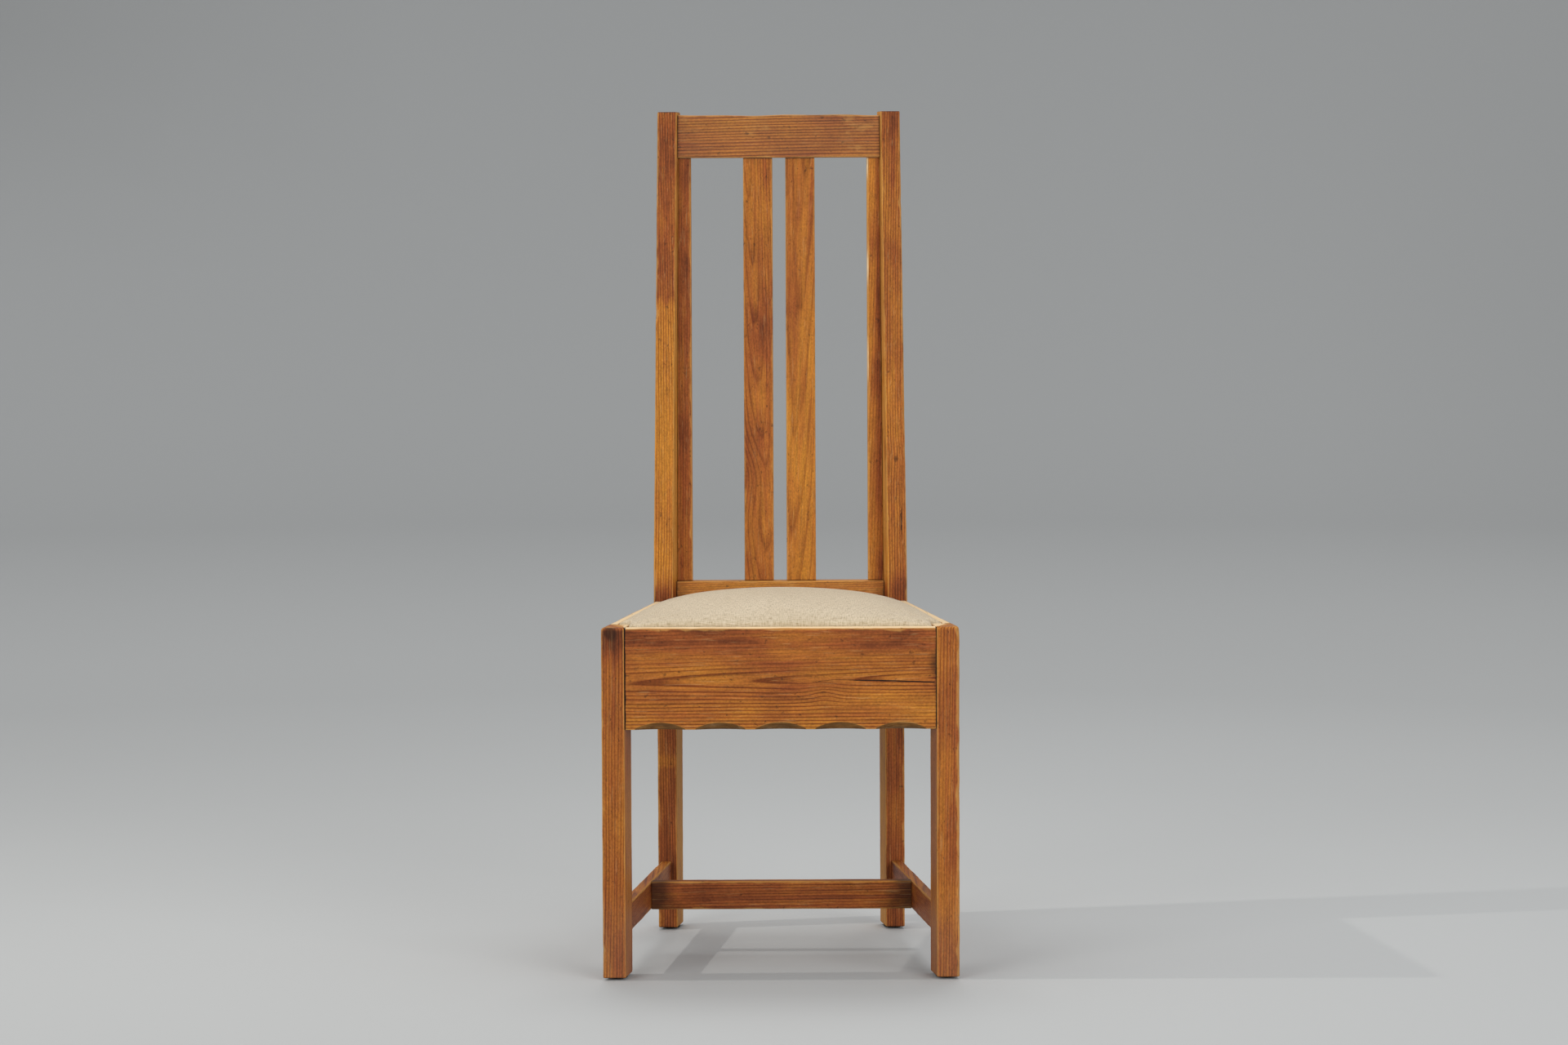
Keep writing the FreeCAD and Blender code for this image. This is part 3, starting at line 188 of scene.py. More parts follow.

    # Over the stain lie golden and bare wood, where it is worn and where light is painted on, then dirt,
    # cracks, grey bloom and fine pale scratches
    for layer, colour in ((cover["rub_and_light"], "#CB9750"), (cover["bare_and_light"], "#E3CBA4"), (darkening, "#2B170C"),
                          (gap, "#140A05"), (bloom, "#847F73"), (cover["scratch"], "#E2B77C")):
        wood = add(tree, "ShaderNodeMix", {0: layer, 6: wood, 7: colour}, data_type="RGBA")

    gloss, relief = 0.48, 0
    for value, strength in ((late, -0.06), (cover["rub_and_light"], 0.28), (noise["streak"], 0.12)):
        gloss = add(tree, "ShaderNodeMath", {0: value, 1: strength, 2: gloss}, operation="MULTIPLY_ADD")
    pits = add(tree, "ShaderNodeMath", {0: cover["dents"], 1: gap}, operation="MAXIMUM")
    for value, strength in ((late, 0.5), (noise["fibre"], 0.6), (pits, -2.0)):
        relief = add(tree, "ShaderNodeMath", {0: value, 1: strength, 2: relief}, operation="MULTIPLY_ADD")
    bump = add(tree, "ShaderNodeBump", {"Height": relief, "Strength": 0.5, "Distance": 0.0003})
    shader = add(tree, "ShaderNodeBsdfPrincipled", {
        "Base Color": wood, "Roughness": gloss, "Normal": bump, "IOR": 1.5, "Specular IOR Level": 0.16})
    add(tree, "ShaderNodeOutputMaterial", {"Surface": shader})
    return material


STAINED_PINE = stained_pine()
ARC = np.radians([0, 18, 36, 54, 72, 90])
ARRIS_WEAR = np.array([0.52, 0.8, 0.96, 0.96, 0.8, 0.52])
ARRIS_WANDER = ((0.28, 17), (0.14, 6))
NEAR_ARRIS = np.array([1.2, 3.0, 6.5])
NEAR_WEAR = np.array([0.42, 0.16, 0])
CUT_WEAR = np.array([0.9, 1.24, 1.24, 1.24, 1.24, 0.9])
CUT_DIRT = 0.8
CUT_MARGIN = 0.7
CUT_START = 0.8
INNER_CORNER_DIRT = 0.75
END_TURN = np.radians([90, 55, 22])
END_FACE_WEAR = 0.7
BY_JOINT = np.array([0.8, 1.8])
JOINT_DIRT = ((1.35, 1.1), (0.3, 9))
FACE_STEP = 11
LEAST_RADIUS = 0.3
FAR_OFF = 90.0
LOG_STRIDE = 2300
KNOT_STRETCH = 0.6
GRAIN_AXES = {"X": (2, 1, 0), "Y": (2, 0, 1), "Z": (0, 1, 2)}


def wandering(rng, places, step):
    """Smooth random values from -1 to 1 along a line, about one bump for each step."""
    spots = (places - places.min()) / step
    values = rng.uniform(-1, 1, int(spots.max()) + 3)
    index = spots.astype(int)
    share = spots - index
    share = share * share * (3 - 2 * share)
    return values[index] * (1 - share) + values[index + 1] * share


def unit(vectors):
    return vectors / np.linalg.norm(vectors, axis=-1, keepdims=True)


def put_attribute(mesh, name, kind, values):
    attribute = mesh.attributes.new(name, kind, "POINT")
    field = "vector" if kind == "FLOAT_VECTOR" else "value"
    attribute.data.foreach_set(field, np.asarray(values, np.float32).ravel())


def shaped(name, points, faces):
    """A smooth mesh of points in millimetres, its faces turned to point outwards."""
    mesh = bpy.data.meshes.new(name)
    mesh.from_pydata((np.array(points) * MM).tolist(), [], faces)
    build = bmesh.new()
    build.from_mesh(mesh)
    bmesh.ops.recalc_face_normals(build, faces=build.faces)
    build.to_mesh(mesh)
    build.free()
    mesh.shade_smooth()
    return mesh


def linked(name, data):
    """A new object in the scene."""
    thing = bpy.data.objects.new(name, data)
    bpy.context.scene.collection.objects.link(thing)
    return thing


def placed(name, mesh, node, body):
    """A mesh as a piece that stands for a CAD node, which it hides, and rides on a body."""
    piece = linked(name, mesh)
    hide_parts(node)
    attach(piece, body)
    return piece


def board(name, seed, grain, span, corners, radii, pith, ends=(0.5, 0.5), end_wear=(0, 0), grime=(0.7, 0.7),
          stain_and_light=0.5, cut=None, nicks=(), wear_and_light=0, soiled=0, knots=(), split=FAR_OFF, growth=RING, figure=1,
          bloom=0, step=5):
    """A sawn pine board with worn arrises, lofted along its grain through sections given by corners(t). radii
    are those of the section's corners and ends those of the end arrises. pith gives the log's heart beside
    the board across and through it, and how far it slants per length. cut is (corner, depth(t)) for a gouged
    chamfer, nicks are (corner, t, length, depth), and knots are (point on the surface, core's radius, the
    rings' bulge, its reach). growth is the width of the rings. The others are numbers or functions of the
    points: stain_and_light is the depth of the stain, which is thinned where light is painted on,
    wear_and_light the wear and painted light, where it is more than that of the arrises or less than none,
    soiled dirt on top of that in the joints, split the distance to a crack, figure the strength of the rings
    and bloom the greyness of the shellac."""
    rng = np.random.default_rng(seed)
    start, end = span
    middle = np.linspace(start + ends[0], end - ends[1], max(3, int((end - start) / step)))
    middle = np.unique(np.concatenate([middle, middle[0] + BY_JOINT, middle[-1] - BY_JOINT]))
    stations = [(start + ends[0] * (1 - math.sin(a)), ends[0] * (1 - math.cos(a)), end_wear[0])
                for a in END_TURN]
    stations += [(t, 0.0, 0.0) for t in middle]
    stations += [(end - ends[1] * (1 - math.sin(a)), ends[1] * (1 - math.cos(a)), end_wear[1])
                 for a in END_TURN[::-1]]
    places = np.array([row[0] for row in stations])
    count = len(radii)
    worn_radii = np.array([
        r * (1 + sum(share * wandering(rng, places, length) for share, length in ARRIS_WANDER))
        for r in radii])
    for corner, at, length, depth in nicks:
        worn_radii[corner] += depth * np.exp(-((places - at) / length) ** 2)

    reference = corners((start + end) / 2)
    edges = np.roll(reference, -1, axis=0) - reference
    normal = unit(np.cross(reference, np.roll(reference, -1, axis=0)).sum(axis=0))
    convex = np.where(np.cross(np.roll(edges, 1, axis=0), edges) @ normal > 0, 1.0, -1.0)
    inner_counts = [max(1, int(length / FACE_STEP)) for length in np.linalg.norm(edges, axis=1)]
    points, wear, dirt = [], [], []
    for number, (t, inset, at_end) in enumerate(stations):
        here = corners(t)
        before = unit(np.roll(here, 1, axis=0) - here)
        after = unit(np.roll(here, -1, axis=0) - here)
        here = here + (before + after) * inset * convex[:, None]
        for i in range(count):
            # The rounded or gouged arris
            r = max(worn_radii[i, number] - inset, LEAST_RADIUS)
            back, forth = r * (1 - np.sin(ARC)), r * (1 - np.cos(ARC))
            arris = ARRIS_WEAR * (convex[i] > 0)
            arris_dirt = 0 if convex[i] > 0 else INNER_CORNER_DIRT
            if cut and cut[0] == i:
                depth = cut[1](t)
                share = min(1.0, depth / CUT_START)
                slope = np.array([depth + CUT_MARGIN, depth - 0.25, 0.67 * depth, 0.33 * depth, 0.25, 0])
                back = back * (1 - share) + slope * share
                forth = forth * (1 - share) + slope[::-1] * share
                arris = arris * (1 - share) + CUT_WEAR * share
                arris_dirt = CUT_DIRT * share
            arc = here[i] + np.outer(back, before[i]) + np.outer(forth, after[i])
            points.extend(arc)
            wear.extend(np.maximum(arris, at_end))
            dirt.extend([arris_dirt] * len(ARC))

            # The face from there to the next arris
            j = (i + 1) % count
            next_r = max(worn_radii[j, number] - inset, LEAST_RADIUS)
            if cut and cut[0] == j:
                next_r = max(next_r, cut[1](t) + CUT_MARGIN)
            face = here[j] + before[j] * next_r - arc[-1]
            length = np.linalg.norm(face)
            near = NEAR_ARRIS * min(1, 0.4 * length / NEAR_ARRIS[-1]) / length
            inner = np.linspace(near[-1], 1 - near[-1], inner_counts[i] + 2)[1:-1]
            shares = np.concatenate([near, inner, 1 - near[::-1]])
            points.extend(arc[-1] + np.outer(shares, face))
            face_wear = np.concatenate(
                [NEAR_WEAR * (convex[i] > 0), 0 * inner, NEAR_WEAR[::-1] * (convex[j] > 0)])
            wear.extend(np.maximum(face_wear, at_end * END_FACE_WEAR))
            dirt.extend([0] * len(shares))
    points = np.array(points)
    ring = len(points) // len(stations)

    last = (len(stations) - 1) * ring
    faces = [[s + p, s + (p + 1) % ring, s + ring + (p + 1) % ring, s + ring + p]
             for s in range(0, last, ring) for p in range(ring)]
    faces += [list(range(ring))[::-1], list(range(last, last + ring))]
    mesh = shaped(name, points, faces)
    mesh.polygons[-1].use_smooth = False
    mesh.polygons[-2].use_smooth = False

    def over(value):
        """A number or a function of the points as one number for each point."""
        return (value(points) if callable(value) else value) * np.ones(len(points))

    across, through, along = (points[:, axis] for axis in GRAIN_AXES[grain])
    log = np.stack([across - across.mean() - pith[0] - pith[2] * along,
                    through - through.mean() - pith[1] - pith[3] * along, along + LOG_STRIDE * seed], axis=1)
    put_attribute(mesh, "log", "FLOAT_VECTOR", log * MM * [RING / growth, RING / growth, 1])
    along_t = np.repeat(places, ring)
    joint = sum(amount * sum(strength * np.exp(-away / reach) for strength, reach in JOINT_DIRT)
                for amount, away in zip(grime, (along_t - start, end - along_t)))
    distance, swell = over(FAR_OFF), over(0)
    for place, core, bulge, reach in knots:
        offset = (points - np.array(place)) * [KNOT_STRETCH if axis == grain else 1 for axis in "XYZ"]
        away = np.linalg.norm(offset, axis=1)
        distance = np.minimum(distance, away - core)
        swell += bulge * np.exp(-(away / reach) ** 2)
    rub_and_light = over(wear_and_light)
    for attribute, values in {
        "worn": np.maximum(wear, rub_and_light) + np.minimum(rub_and_light, 0), "grime": np.maximum(joint, dirt) + over(soiled),
        "stain_and_light": over(stain_and_light), "figure": over(figure), "bloom": over(bloom), "knot": distance * MM,
        "swell": swell * MM, "split": over(split) * MM,
    }.items():
        put_attribute(mesh, attribute, "FLOAT", values)
    mesh.materials.append(STAINED_PINE)
    placed(name, mesh, name.removesuffix("_worn"), "frame")


def step_up(values, at, width):
    """0 below a place and 1 above it, with a smooth change of that width."""
    share = np.clip((values - at) / width + 0.5, 0, 1)
    return share * share * (3 - 2 * share)


def upright(side, near, far, width, z):
    """The section of a leg or post at a height between two depths, its sides leaning in with the chair's."""
    return np.array([(side * (outer(depth) - inset), depth - HALF_DEPTH, z)
                     for depth, inset in ((near, 0), (near, width), (far, width), (far, 0))])


for side, label in ((-1, "left"), (1, "right")):
    def leg_corners(z, side=side):
        return upright(side, 0, LEG_DEPTH, LEG_WIDTH, z) - [side * LEG_REVEAL, 0, 0]

    def leg_stain_and_light(points, side=side):
        """Thick old finish at the foot and on the top of the left leg. The stain is thin on the end grain at
        the top, partly for wear and partly as painted light on a top face, and thin on the inner face as
        painted light."""
        x, y, z = points.T
        foot = (0.12 - 0.08 * side) * (1 - step_up(z, 60, 110))
        polish = 0.34 * step_up(z, 408, 44) if side < 0 else 0
        # Painted light: a thinner stain on the inner face
        inside = step_up(outer(y + HALF_DEPTH) - LEG_WIDTH + 1 - side * x, 0, 1.4)
        return 0.56 + foot + polish - 0.3 * step_up(z, 447, 4) - 0.15 * inside + 0.06 * np.sin(z / 37 + side)

    def leg_top_wear_and_light(points, side=side):
        """Bare wood behind the front and outer strips of the top, partly worn by the seat's edge and partly
        painted light on the top face.
        """
        x, y, z = points.T
        behind = step_up(y + HALF_DEPTH, 10, 2)
        inside = step_up(outer(y + HALF_DEPTH) - side * x, 10, 2)
        return 2.0 * behind * inside * step_up(z, 448.6, 1.6)

    def leg_burn(points):
        """Black where something hot once stood against the top of the left leg."""
        spot = (points - [-216, -HALF_DEPTH, 443]) / [10, 16, 9]
        trail = (points - [-211, -HALF_DEPTH, 425]) / [9, 14, 19]
        return 0.95 * np.exp(-np.sum(spot ** 2, axis=1)) + 0.55 * np.exp(-np.sum(trail ** 2, axis=1))

    board(f"front_leg_{label}_worn", 3 + side, "Z", (GLIDE_HEIGHT, SEAT_HEIGHT), leg_corners,
          [3.2 + side, 1.2, 2, 2.4], (side * -62, 24, 0.012, 0), ends=(1.8, 3.2), end_wear=(0.2, 0.5),
          grime=(0.5, 0.1), stain_and_light=leg_stain_and_light, wear_and_light=leg_top_wear_and_light, soiled=leg_burn, growth=3.0,
          bloom=lambda points: 0.08 * (1 - step_up(points[:, 2], 85, 90)),
          nicks=[(0, 60 + 20 * side, 4, 1.6), (1, 250, 6, 1.2), (0, 330, 5, 1.0),
                 (0, 449, 6, 3 + 1.5 * side)])

# The rear posts: each sawn in one piece from floor to top, plumb below, hollowed up to the knee under the
# seat, then raked and tapering. Same stained pine. The left one lost its dark finish below shoulder height.
POST_WIDTH = 26
POST_TOP = 1108
POST_RAKE = 50 / 634
POST_BEND = 48
REAR_LEG_FRONT = 398
REAR_LEG_BACK = 444
REAR_LEAN = 11
HOLLOW_BOTTOM = 290
HOLLOW_TOP = 350
POST_NICKS = {"left": [(0, 839, 7, 2.6), (0, 905, 4, 1.4), (1, 690, 5, 1.2)],
              "right": [(1, 720, 8, 1.6), (0, 985, 5, 1.8), (1, 560, 4, 1.4)]}
POST_KNOTS = {"left": [], "right": [((156, 160.7, 641), 2.2, 2, 12)]}


def post_front(z):
    """Depth of a post's front face at a height: plumb, hollowed, plumb beside the seat, bent over, then
    raked."""
    if z < HOLLOW_BOTTOM:
        return REAR_LEG_FRONT
    if z < HOLLOW_TOP:
        hollow, rise = REAR_LEG_FRONT - SEAT_DEPTH, HOLLOW_TOP - HOLLOW_BOTTOM
        radius = (hollow ** 2 + rise ** 2) / (2 * hollow)
        return REAR_LEG_FRONT - radius + math.sqrt(radius ** 2 - (z - HOLLOW_BOTTOM) ** 2)
    above = max(0, z - SEAT_HEIGHT)
    bent = above ** 2 / (2 * POST_BEND) if above < POST_BEND else above - POST_BEND / 2
    return SEAT_DEPTH + POST_RAKE * bent


def post_rear(z):
    """Depth of a post's rear face, which leans back a little."""
    return REAR_LEG_BACK + (z - GLIDE_HEIGHT) * REAR_LEAN / (POST_TOP - GLIDE_HEIGHT)


def lit_post_inside(points, side):
    """Where light is painted on a post: 1 on its inner face and 0 elsewhere, except beside the seat."""
    depth = outer(points[:, 1] + HALF_DEPTH) - POST_WIDTH + 1.0 - side * points[:, 0]
    return step_up(depth, 0, 1.4) * (1 - np.exp(-((points[:, 2] - 430) / 45) ** 4))


for side, label in ((-1, "left"), (1, "right")):
    def post_corners(z, side=side):
        return upright(side, post_front(z), post_rear(z), POST_WIDTH, z)

    def post_stain_and_light(points, side=side):
        """Old finish that is thick at the foot and beside the seat, and worn away over most of the left
        post's back. On the inner face the stain is thinned as painted light."""
        x, y, z = points.T
        low = 1 - step_up(z, 440, 60)
        by_seat = 0.3 * np.exp(-((z - 462) / 20) ** 2)
        # Painted light: a thinner stain on the inner face
        base = 0.1 * low + 0.1 * (1 - step_up(z, 90, 160)) + by_seat - 0.42 * lit_post_inside(points, side)
        if side < 0:
            pale = step_up(z, 470, 60) * (1 - step_up(z + 6 * np.sin(x * 0.4), 852, 12))
            pale *= 1 - step_up(y + HALF_DEPTH, 415, 36)
            scuffed = 0.3 * np.exp(-((z - 231) / 9) ** 4) + 0.08 * (1 - step_up(z, 232, 20))
            return 0.7 - 0.55 * pale + base - scuffed
        return 0.44 + 0.16 * step_up(z, 800, 400) + 0.2 * low + base

    def post_split(points):
        """Signed distance to a short crack beside the right post's outer arris."""
        x, y, z = points.T
        away = np.maximum(0, np.abs(z - 556) - 12) * 0.5 + np.maximum(0, y - 168) * 5
        return (x - 162.6) + np.sign(x - 162.6) * away

    # The posts' inner faces get painted light, a thinner stain and golden wood, so they do not look shaded
    board(f"rear_post_{label}_worn", 6 + side, "Z", (GLIDE_HEIGHT, POST_TOP), post_corners, [2.6, 1.4, 2, 2],
          (side * 70, -30, 0.006 * side, 0.01), ends=(1.8, 1.6), end_wear=(0.2, 0.3), grime=(0.6, 0.6),
          stain_and_light=post_stain_and_light, wear_and_light=lambda points, side=side: 0.85 * lit_post_inside(points, side),
          split=post_split, figure=1.1, nicks=POST_NICKS[label], knots=POST_KNOTS[label])

# The front apron: a deep board between the legs, tenoned into them and rebated behind for the seat. Its top
# arris is well rounded by use, and five shallow scallops are gouged at 45 degrees out of the lower front
# arris.
APRON_FRONT = 1
APRON_BACK = 23
APRON_BOTTOM = 320
RAIL_LAND = 10
REBATE_FLOOR = 426.5
APRON_GAP = 0.5
SCALLOP_PITCH = 76.3
SCALLOP_WIDTH = 66
SCALLOP_HEIGHT = 8.3


def leg_inner(depth):
    return outer(depth) - LEG_WIDTH


def fanned(x, inner, first, section):
    """A section across the chair, spread so that the board's ends follow the slanting faces at inner(depth).
    The board's length is counted at the first depth."""
    return np.array([(x * inner(depth) / inner(first), depth - HALF_DEPTH, z) for depth, z in section])


APRON_REACH = leg_inner(0) - APRON_GAP


def apron_corners(x):
    back_of_land = APRON_FRONT + RAIL_LAND
    section = [(APRON_FRONT, APRON_BOTTOM), (APRON_FRONT, SEAT_HEIGHT), (back_of_land, SEAT_HEIGHT),
               (back_of_land, REBATE_FLOOR), (APRON_BACK, REBATE_FLOOR), (APRON_BACK, APRON_BOTTOM)]
    return fanned(x, leg_inner, 0, section)


def scallop_depth(x):
    """Height of the gouged chamfer on the front face: the arc of a round gouge, five times. Its thin ends are
    lost in the worn arris, so it is drawn 5 mm wider than the CAD's."""
    cut_depth = SCALLOP_HEIGHT / math.sqrt(2)
    radius = ((SCALLOP_WIDTH / 2) ** 2 + cut_depth ** 2) / (2 * cut_depth)
    nearest = min(abs(x - number * SCALLOP_PITCH) for number in (-2, -1, 0, 1, 2))
    if nearest >= SCALLOP_WIDTH / 2:
        return 0.0
    return math.sqrt(2) * (math.sqrt(radius ** 2 - nearest ** 2) - radius + cut_depth)


def apron_patina(points):
    """Dark old polish along the top third, lighter towards the scallops."""
    return 0.46 + 0.26 * step_up(points[:, 2], 410, 44) - 0.08 * (1 - step_up(points[:, 2], 352, 30))


def apron_split(points):
    """Signed distance to the drying crack that runs in from the right-hand leg along the grain, or to the
    open joints at the legs."""
    x, y, z = points.T
    away = np.maximum(0, 100 - x) * 0.4 + np.maximum(0, y + HALF_DEPTH - APRON_FRONT - 8) * 5
    line = 382.9 - 0.026 * (x - 79)
    crack = (z - line) + np.sign(z - line) * away
    joint = np.maximum(0, APRON_REACH - np.abs(x) - np.where(x < 0, 0.9, 0.2))
    return np.where(joint < 2.5, np.minimum(np.abs(crack), joint), crack)


def apron_soil(points):
    """Old dirt worked in beside the right-hand leg."""
    away = (points - [193, -HALF_DEPTH, 404]) / [9, 40, 17]
    return 0.62 * np.exp(-np.sum(away ** 2, axis=1))


# The top land is bare and golden, partly for wear and partly as painted light on a top face
board("front_apron_worn", 9, "X", (-APRON_REACH, APRON_REACH), apron_corners, [1.6, 4.2, 1.6, 0.6, 1, 1.6],
      (-12, -2, 0.01, -0.03), ends=(0.4, 0.4), grime=(0.6, 0.7), soiled=apron_soil, stain_and_light=apron_patina,
      cut=(0, scallop_depth), split=apron_split, growth=4.2, step=1.6,
      figure=lambda points: 1.35 - 0.8 * step_up(points[:, 2], 408, 26),
      wear_and_light=lambda points: (1.62 + 0.2 * step_up(points[:, 0], 60, 240)) * step_up(points[:, 2], 447.8, 2.6),
      nicks=[(1, -120, 6, 1.2), (1, 35, 4, 1.0), (1, 150, 5, 1.4)],
      knots=[((55.5, -HALF_DEPTH + 1, 365), 3, 4, 12)])

# The side seat rails: rebated boards that lean in with the chair's sides, tenoned between leg and post. Their
# top lands are worn pale by hands that lift the seat, and made paler still as painted light on a top face.
RAIL_THICKNESS = 22
RAIL_REVEAL = 1.5
SIDE_RAIL_BOTTOM = 350
SHOULDER_GAP = 0.2

for side, label in ((-1, "left"), (1, "right")):
    def rail_corners(y, side=side):
        face = outer(y + HALF_DEPTH) - RAIL_REVEAL
        section = [(face, SIDE_RAIL_BOTTOM), (face, SEAT_HEIGHT), (face - RAIL_LAND, SEAT_HEIGHT),
                   (face - RAIL_LAND, REBATE_FLOOR), (face - RAIL_THICKNESS, REBATE_FLOOR),
                   (face - RAIL_THICKNESS, SIDE_RAIL_BOTTOM)]
        return np.array([(side * x, y, z) for x, z in section])

    def land_wear_and_light(points):
        """Bare wood on the land, partly worn and partly painted light on the top face, and the old finish
        left along its outer arris.
        """
        edge = step_up(np.abs(points[:, 0]) - outer(points[:, 1] + HALF_DEPTH), -3.4, 1.4)
        return 2.3 * step_up(points[:, 2], 449, 1.5) * (1 - edge) - 0.9 * edge

    # Painted light and wear: a thinner stain and bare wood on the top land
    board(f"side_rail_{label}_worn", 12 + side, "Y",
          (LEG_DEPTH - HALF_DEPTH + SHOULDER_GAP, SEAT_DEPTH - HALF_DEPTH - SHOULDER_GAP), rail_corners,
          [1.8, 2.4, 1.6, 0.6, 1, 1.6], (70, side * 16, 0.02, 0), grime=(0.7, 0.8), wear_and_light=land_wear_and_light,
          stain_and_light=lambda points: 0.5 - 0.42 * step_up(points[:, 2], 447, 4))

# The rear seat rail: a plumb board between the posts that stands a little above the seat. The slats are
# tenoned into its top edge.
REAR_RAIL_FRONT = 403
REAR_RAIL_BOTTOM = 375
REAR_RAIL_TOP = 475
END_GAP = 0.3


def post_inner(depth):
    return outer(depth) - POST_WIDTH


def rear_rail_corners(x):
    back = REAR_RAIL_FRONT + RAIL_THICKNESS
    section = [(REAR_RAIL_FRONT, REAR_RAIL_BOTTOM), (REAR_RAIL_FRONT, REAR_RAIL_TOP), (back, REAR_RAIL_TOP),
               (back, REAR_RAIL_BOTTOM)]
    return fanned(x, post_inner, REAR_RAIL_FRONT, section)


REAR_REACH = post_inner(REAR_RAIL_FRONT) - END_GAP
board("rear_rail_worn", 14, "X", (-REAR_REACH, REAR_REACH), rear_rail_corners, [1.6, 2.2, 2.2, 1.6],
      (-58, 20, 0.03, 0), grime=(0.8, 0.8), stain_and_light=lambda points: 0.5 - 0.35 * step_up(points[:, 2], 450, 20),
      wear_and_light=0.5, growth=2.8, bloom=0.07)

# The crest rail: a board across the top of the back, raked with it and tenoned into the posts just below
# their tops. Its top edge has worn a little wavy, and its shellac has greyed.
CREST_BOTTOM = 1046
CREST_TOP = 1104
CREST_THICKNESS = 20
PANEL_RAKE = 28 / 658


def panel(z):
    """Depth of the raked front plane of the back at a height."""
    return REAR_RAIL_FRONT + (z - SEAT_HEIGHT) * PANEL_RAKE


def crest_corners(x):
    top = CREST_TOP - 0.6 + 0.5 * math.sin(x / 31) + 0.35 * math.sin(x / 13 + 1)
    low, high = panel(CREST_BOTTOM), panel(CREST_TOP)
    section = [(low, CREST_BOTTOM), (high, top), (high + CREST_THICKNESS, top),
               (low + CREST_THICKNESS, CREST_BOTTOM)]
    return fanned(x, post_inner, low, section)


CREST_REACH = post_inner(panel(CREST_BOTTOM)) - END_GAP
board("crest_rail_worn", 16, "X", (-CREST_REACH, CREST_REACH), crest_corners, [2.2, 2, 2, 2],
      (-74, 24, 0.02, 0.01), grime=(0.7, 0.7), stain_and_light=lambda points: 0.52 + 0.1 * np.sin(points[:, 0] / 40),
      wear_and_light=0.45, nicks=[(1, -60, 4, 1.0), (0, 70, 6, 0.9)], growth=3.6, figure=1.8, bloom=0.1)

# The slats: two broad ones in the middle and a narrow one along each post, raked with the back and tenoned
# into the rear rail and the crest rail. Sawn from different boards, so their figure and colour differ. The
# left side slat is stained darker, partly as painted shadow of the left post.
SLAT_SETBACK = 4
SLAT_THICKNESS = 12
SLAT_WIDTH = 39.5
SLAT_SPACING = 57
SIDE_SLAT_INNER = 118.52
SIDE_SLAT_GAP = 0.4


def slat_corners(z, inner, outer_edge):
    """A slat's section from its inner edge to an outer edge that may follow the post: outer_edge(depth)."""
    near = panel(z) + SLAT_SETBACK
    far = near + SLAT_THICKNESS
    return [(inner, near - HALF_DEPTH, z), (outer_edge(near), near - HALF_DEPTH, z),
            (outer_edge(far), far - HALF_DEPTH, z), (inner, far - HALF_DEPTH, z)]


def arris_wear(points):
    """Bare wood along the inner arris of the right-hand side slat, more of it higher up."""
    x, y, z = points.T
    return (0.8 + 0.3 * np.sin(z / 23) + 0.4 * step_up(z, 700, 200)) * (1 - step_up(x, 121.2, 1.4))


SLAT_SPAN = (REAR_RAIL_TOP + SHOULDER_GAP, CREST_BOTTOM - SHOULDER_GAP)
MIDDLE_SLATS = {
    "left": dict(seed=19, pith=(33, 12, -0.045, 0), figure=0.8, stain_and_light=0.52,
                 knots=[((-48.5, 178, 617), -5, 11, 26)]),
    "right": dict(seed=21, pith=(-34, 20, 0.04, 0.02), figure=0.6,
                  stain_and_light=lambda points: 0.3 + 0.2 * step_up(points[:, 2] - 3 * points[:, 0], 780, 260)),
}
SIDE_SLATS = {
    # Painted shadow: the left side slat's darker stain stands partly for the left post's shadow
    "left": dict(seed=23, pith=(60, 10, 0.01, 0), stain_and_light=0.66),
    "right": dict(seed=25, pith=(-52, 14, 0.02, 0), wear_and_light=arris_wear,
                  stain_and_light=lambda points: 0.34 + 0.4 * step_up(points[:, 0], 131, 8)),
}
for side, label in ((-1, "left"), (1, "right")):
    def middle_corners(z, side=side):
        low, high = (SLAT_SPACING - SLAT_WIDTH) / 2, (SLAT_SPACING + SLAT_WIDTH) / 2
        return np.array(slat_corners(z, low, lambda depth: high)) * [side, 1, 1]

    def side_corners(z, side=side):
        section = slat_corners(z, SIDE_SLAT_INNER, lambda depth: post_inner(depth) - SIDE_SLAT_GAP)
        return np.array(section) * [side, 1, 1]

    board(f"back_slat_{label}_worn", grain="Z", span=SLAT_SPAN, corners=middle_corners,
          radii=[1.8, 1.8, 1.8, 1.8], grime=(0.6, 0.6), **MIDDLE_SLATS[label])
    board(f"side_slat_{label}_worn", grain="Z", span=SLAT_SPAN, corners=side_corners,
          radii=[2.6, 1.2, 1.2, 2], grime=(0.6, 0.6), figure=0.6,
          nicks=[(0, 735, 12, 1.2), (0, 540, 6, 1.0)], **SIDE_SLATS[label])

# The stretchers: a thin board from leg to leg at each side, and one across between their middles, like an H.
# Their stain is drawn dark, and their top faces are made golden, partly for wear and partly as painted light.
STRETCHER_BOTTOM = 57
STRETCHER_TOP = 94
STRETCHER_THICKNESS = 14
FRONT_SETBACK = 14.5
REAR_SETBACK = 4
CROSS_FRONT = 214
CROSS_BACK = 232
STRETCHER_SPAN = (LEG_DEPTH - HALF_DEPTH + SHOULDER_GAP, REAR_LEG_FRONT - HALF_DEPTH - SHOULDER_GAP)


def stretcher_outer(depth):
    at_front = outer(LEG_DEPTH) - FRONT_SETBACK
    at_rear = outer(REAR_LEG_FRONT) - REAR_SETBACK
    return at_front - (at_front - at_rear) * (depth - LEG_DEPTH) / (REAR_LEG_FRONT - LEG_DEPTH)


def stretcher_inner(depth):
    return stretcher_outer(depth) - STRETCHER_THICKNESS


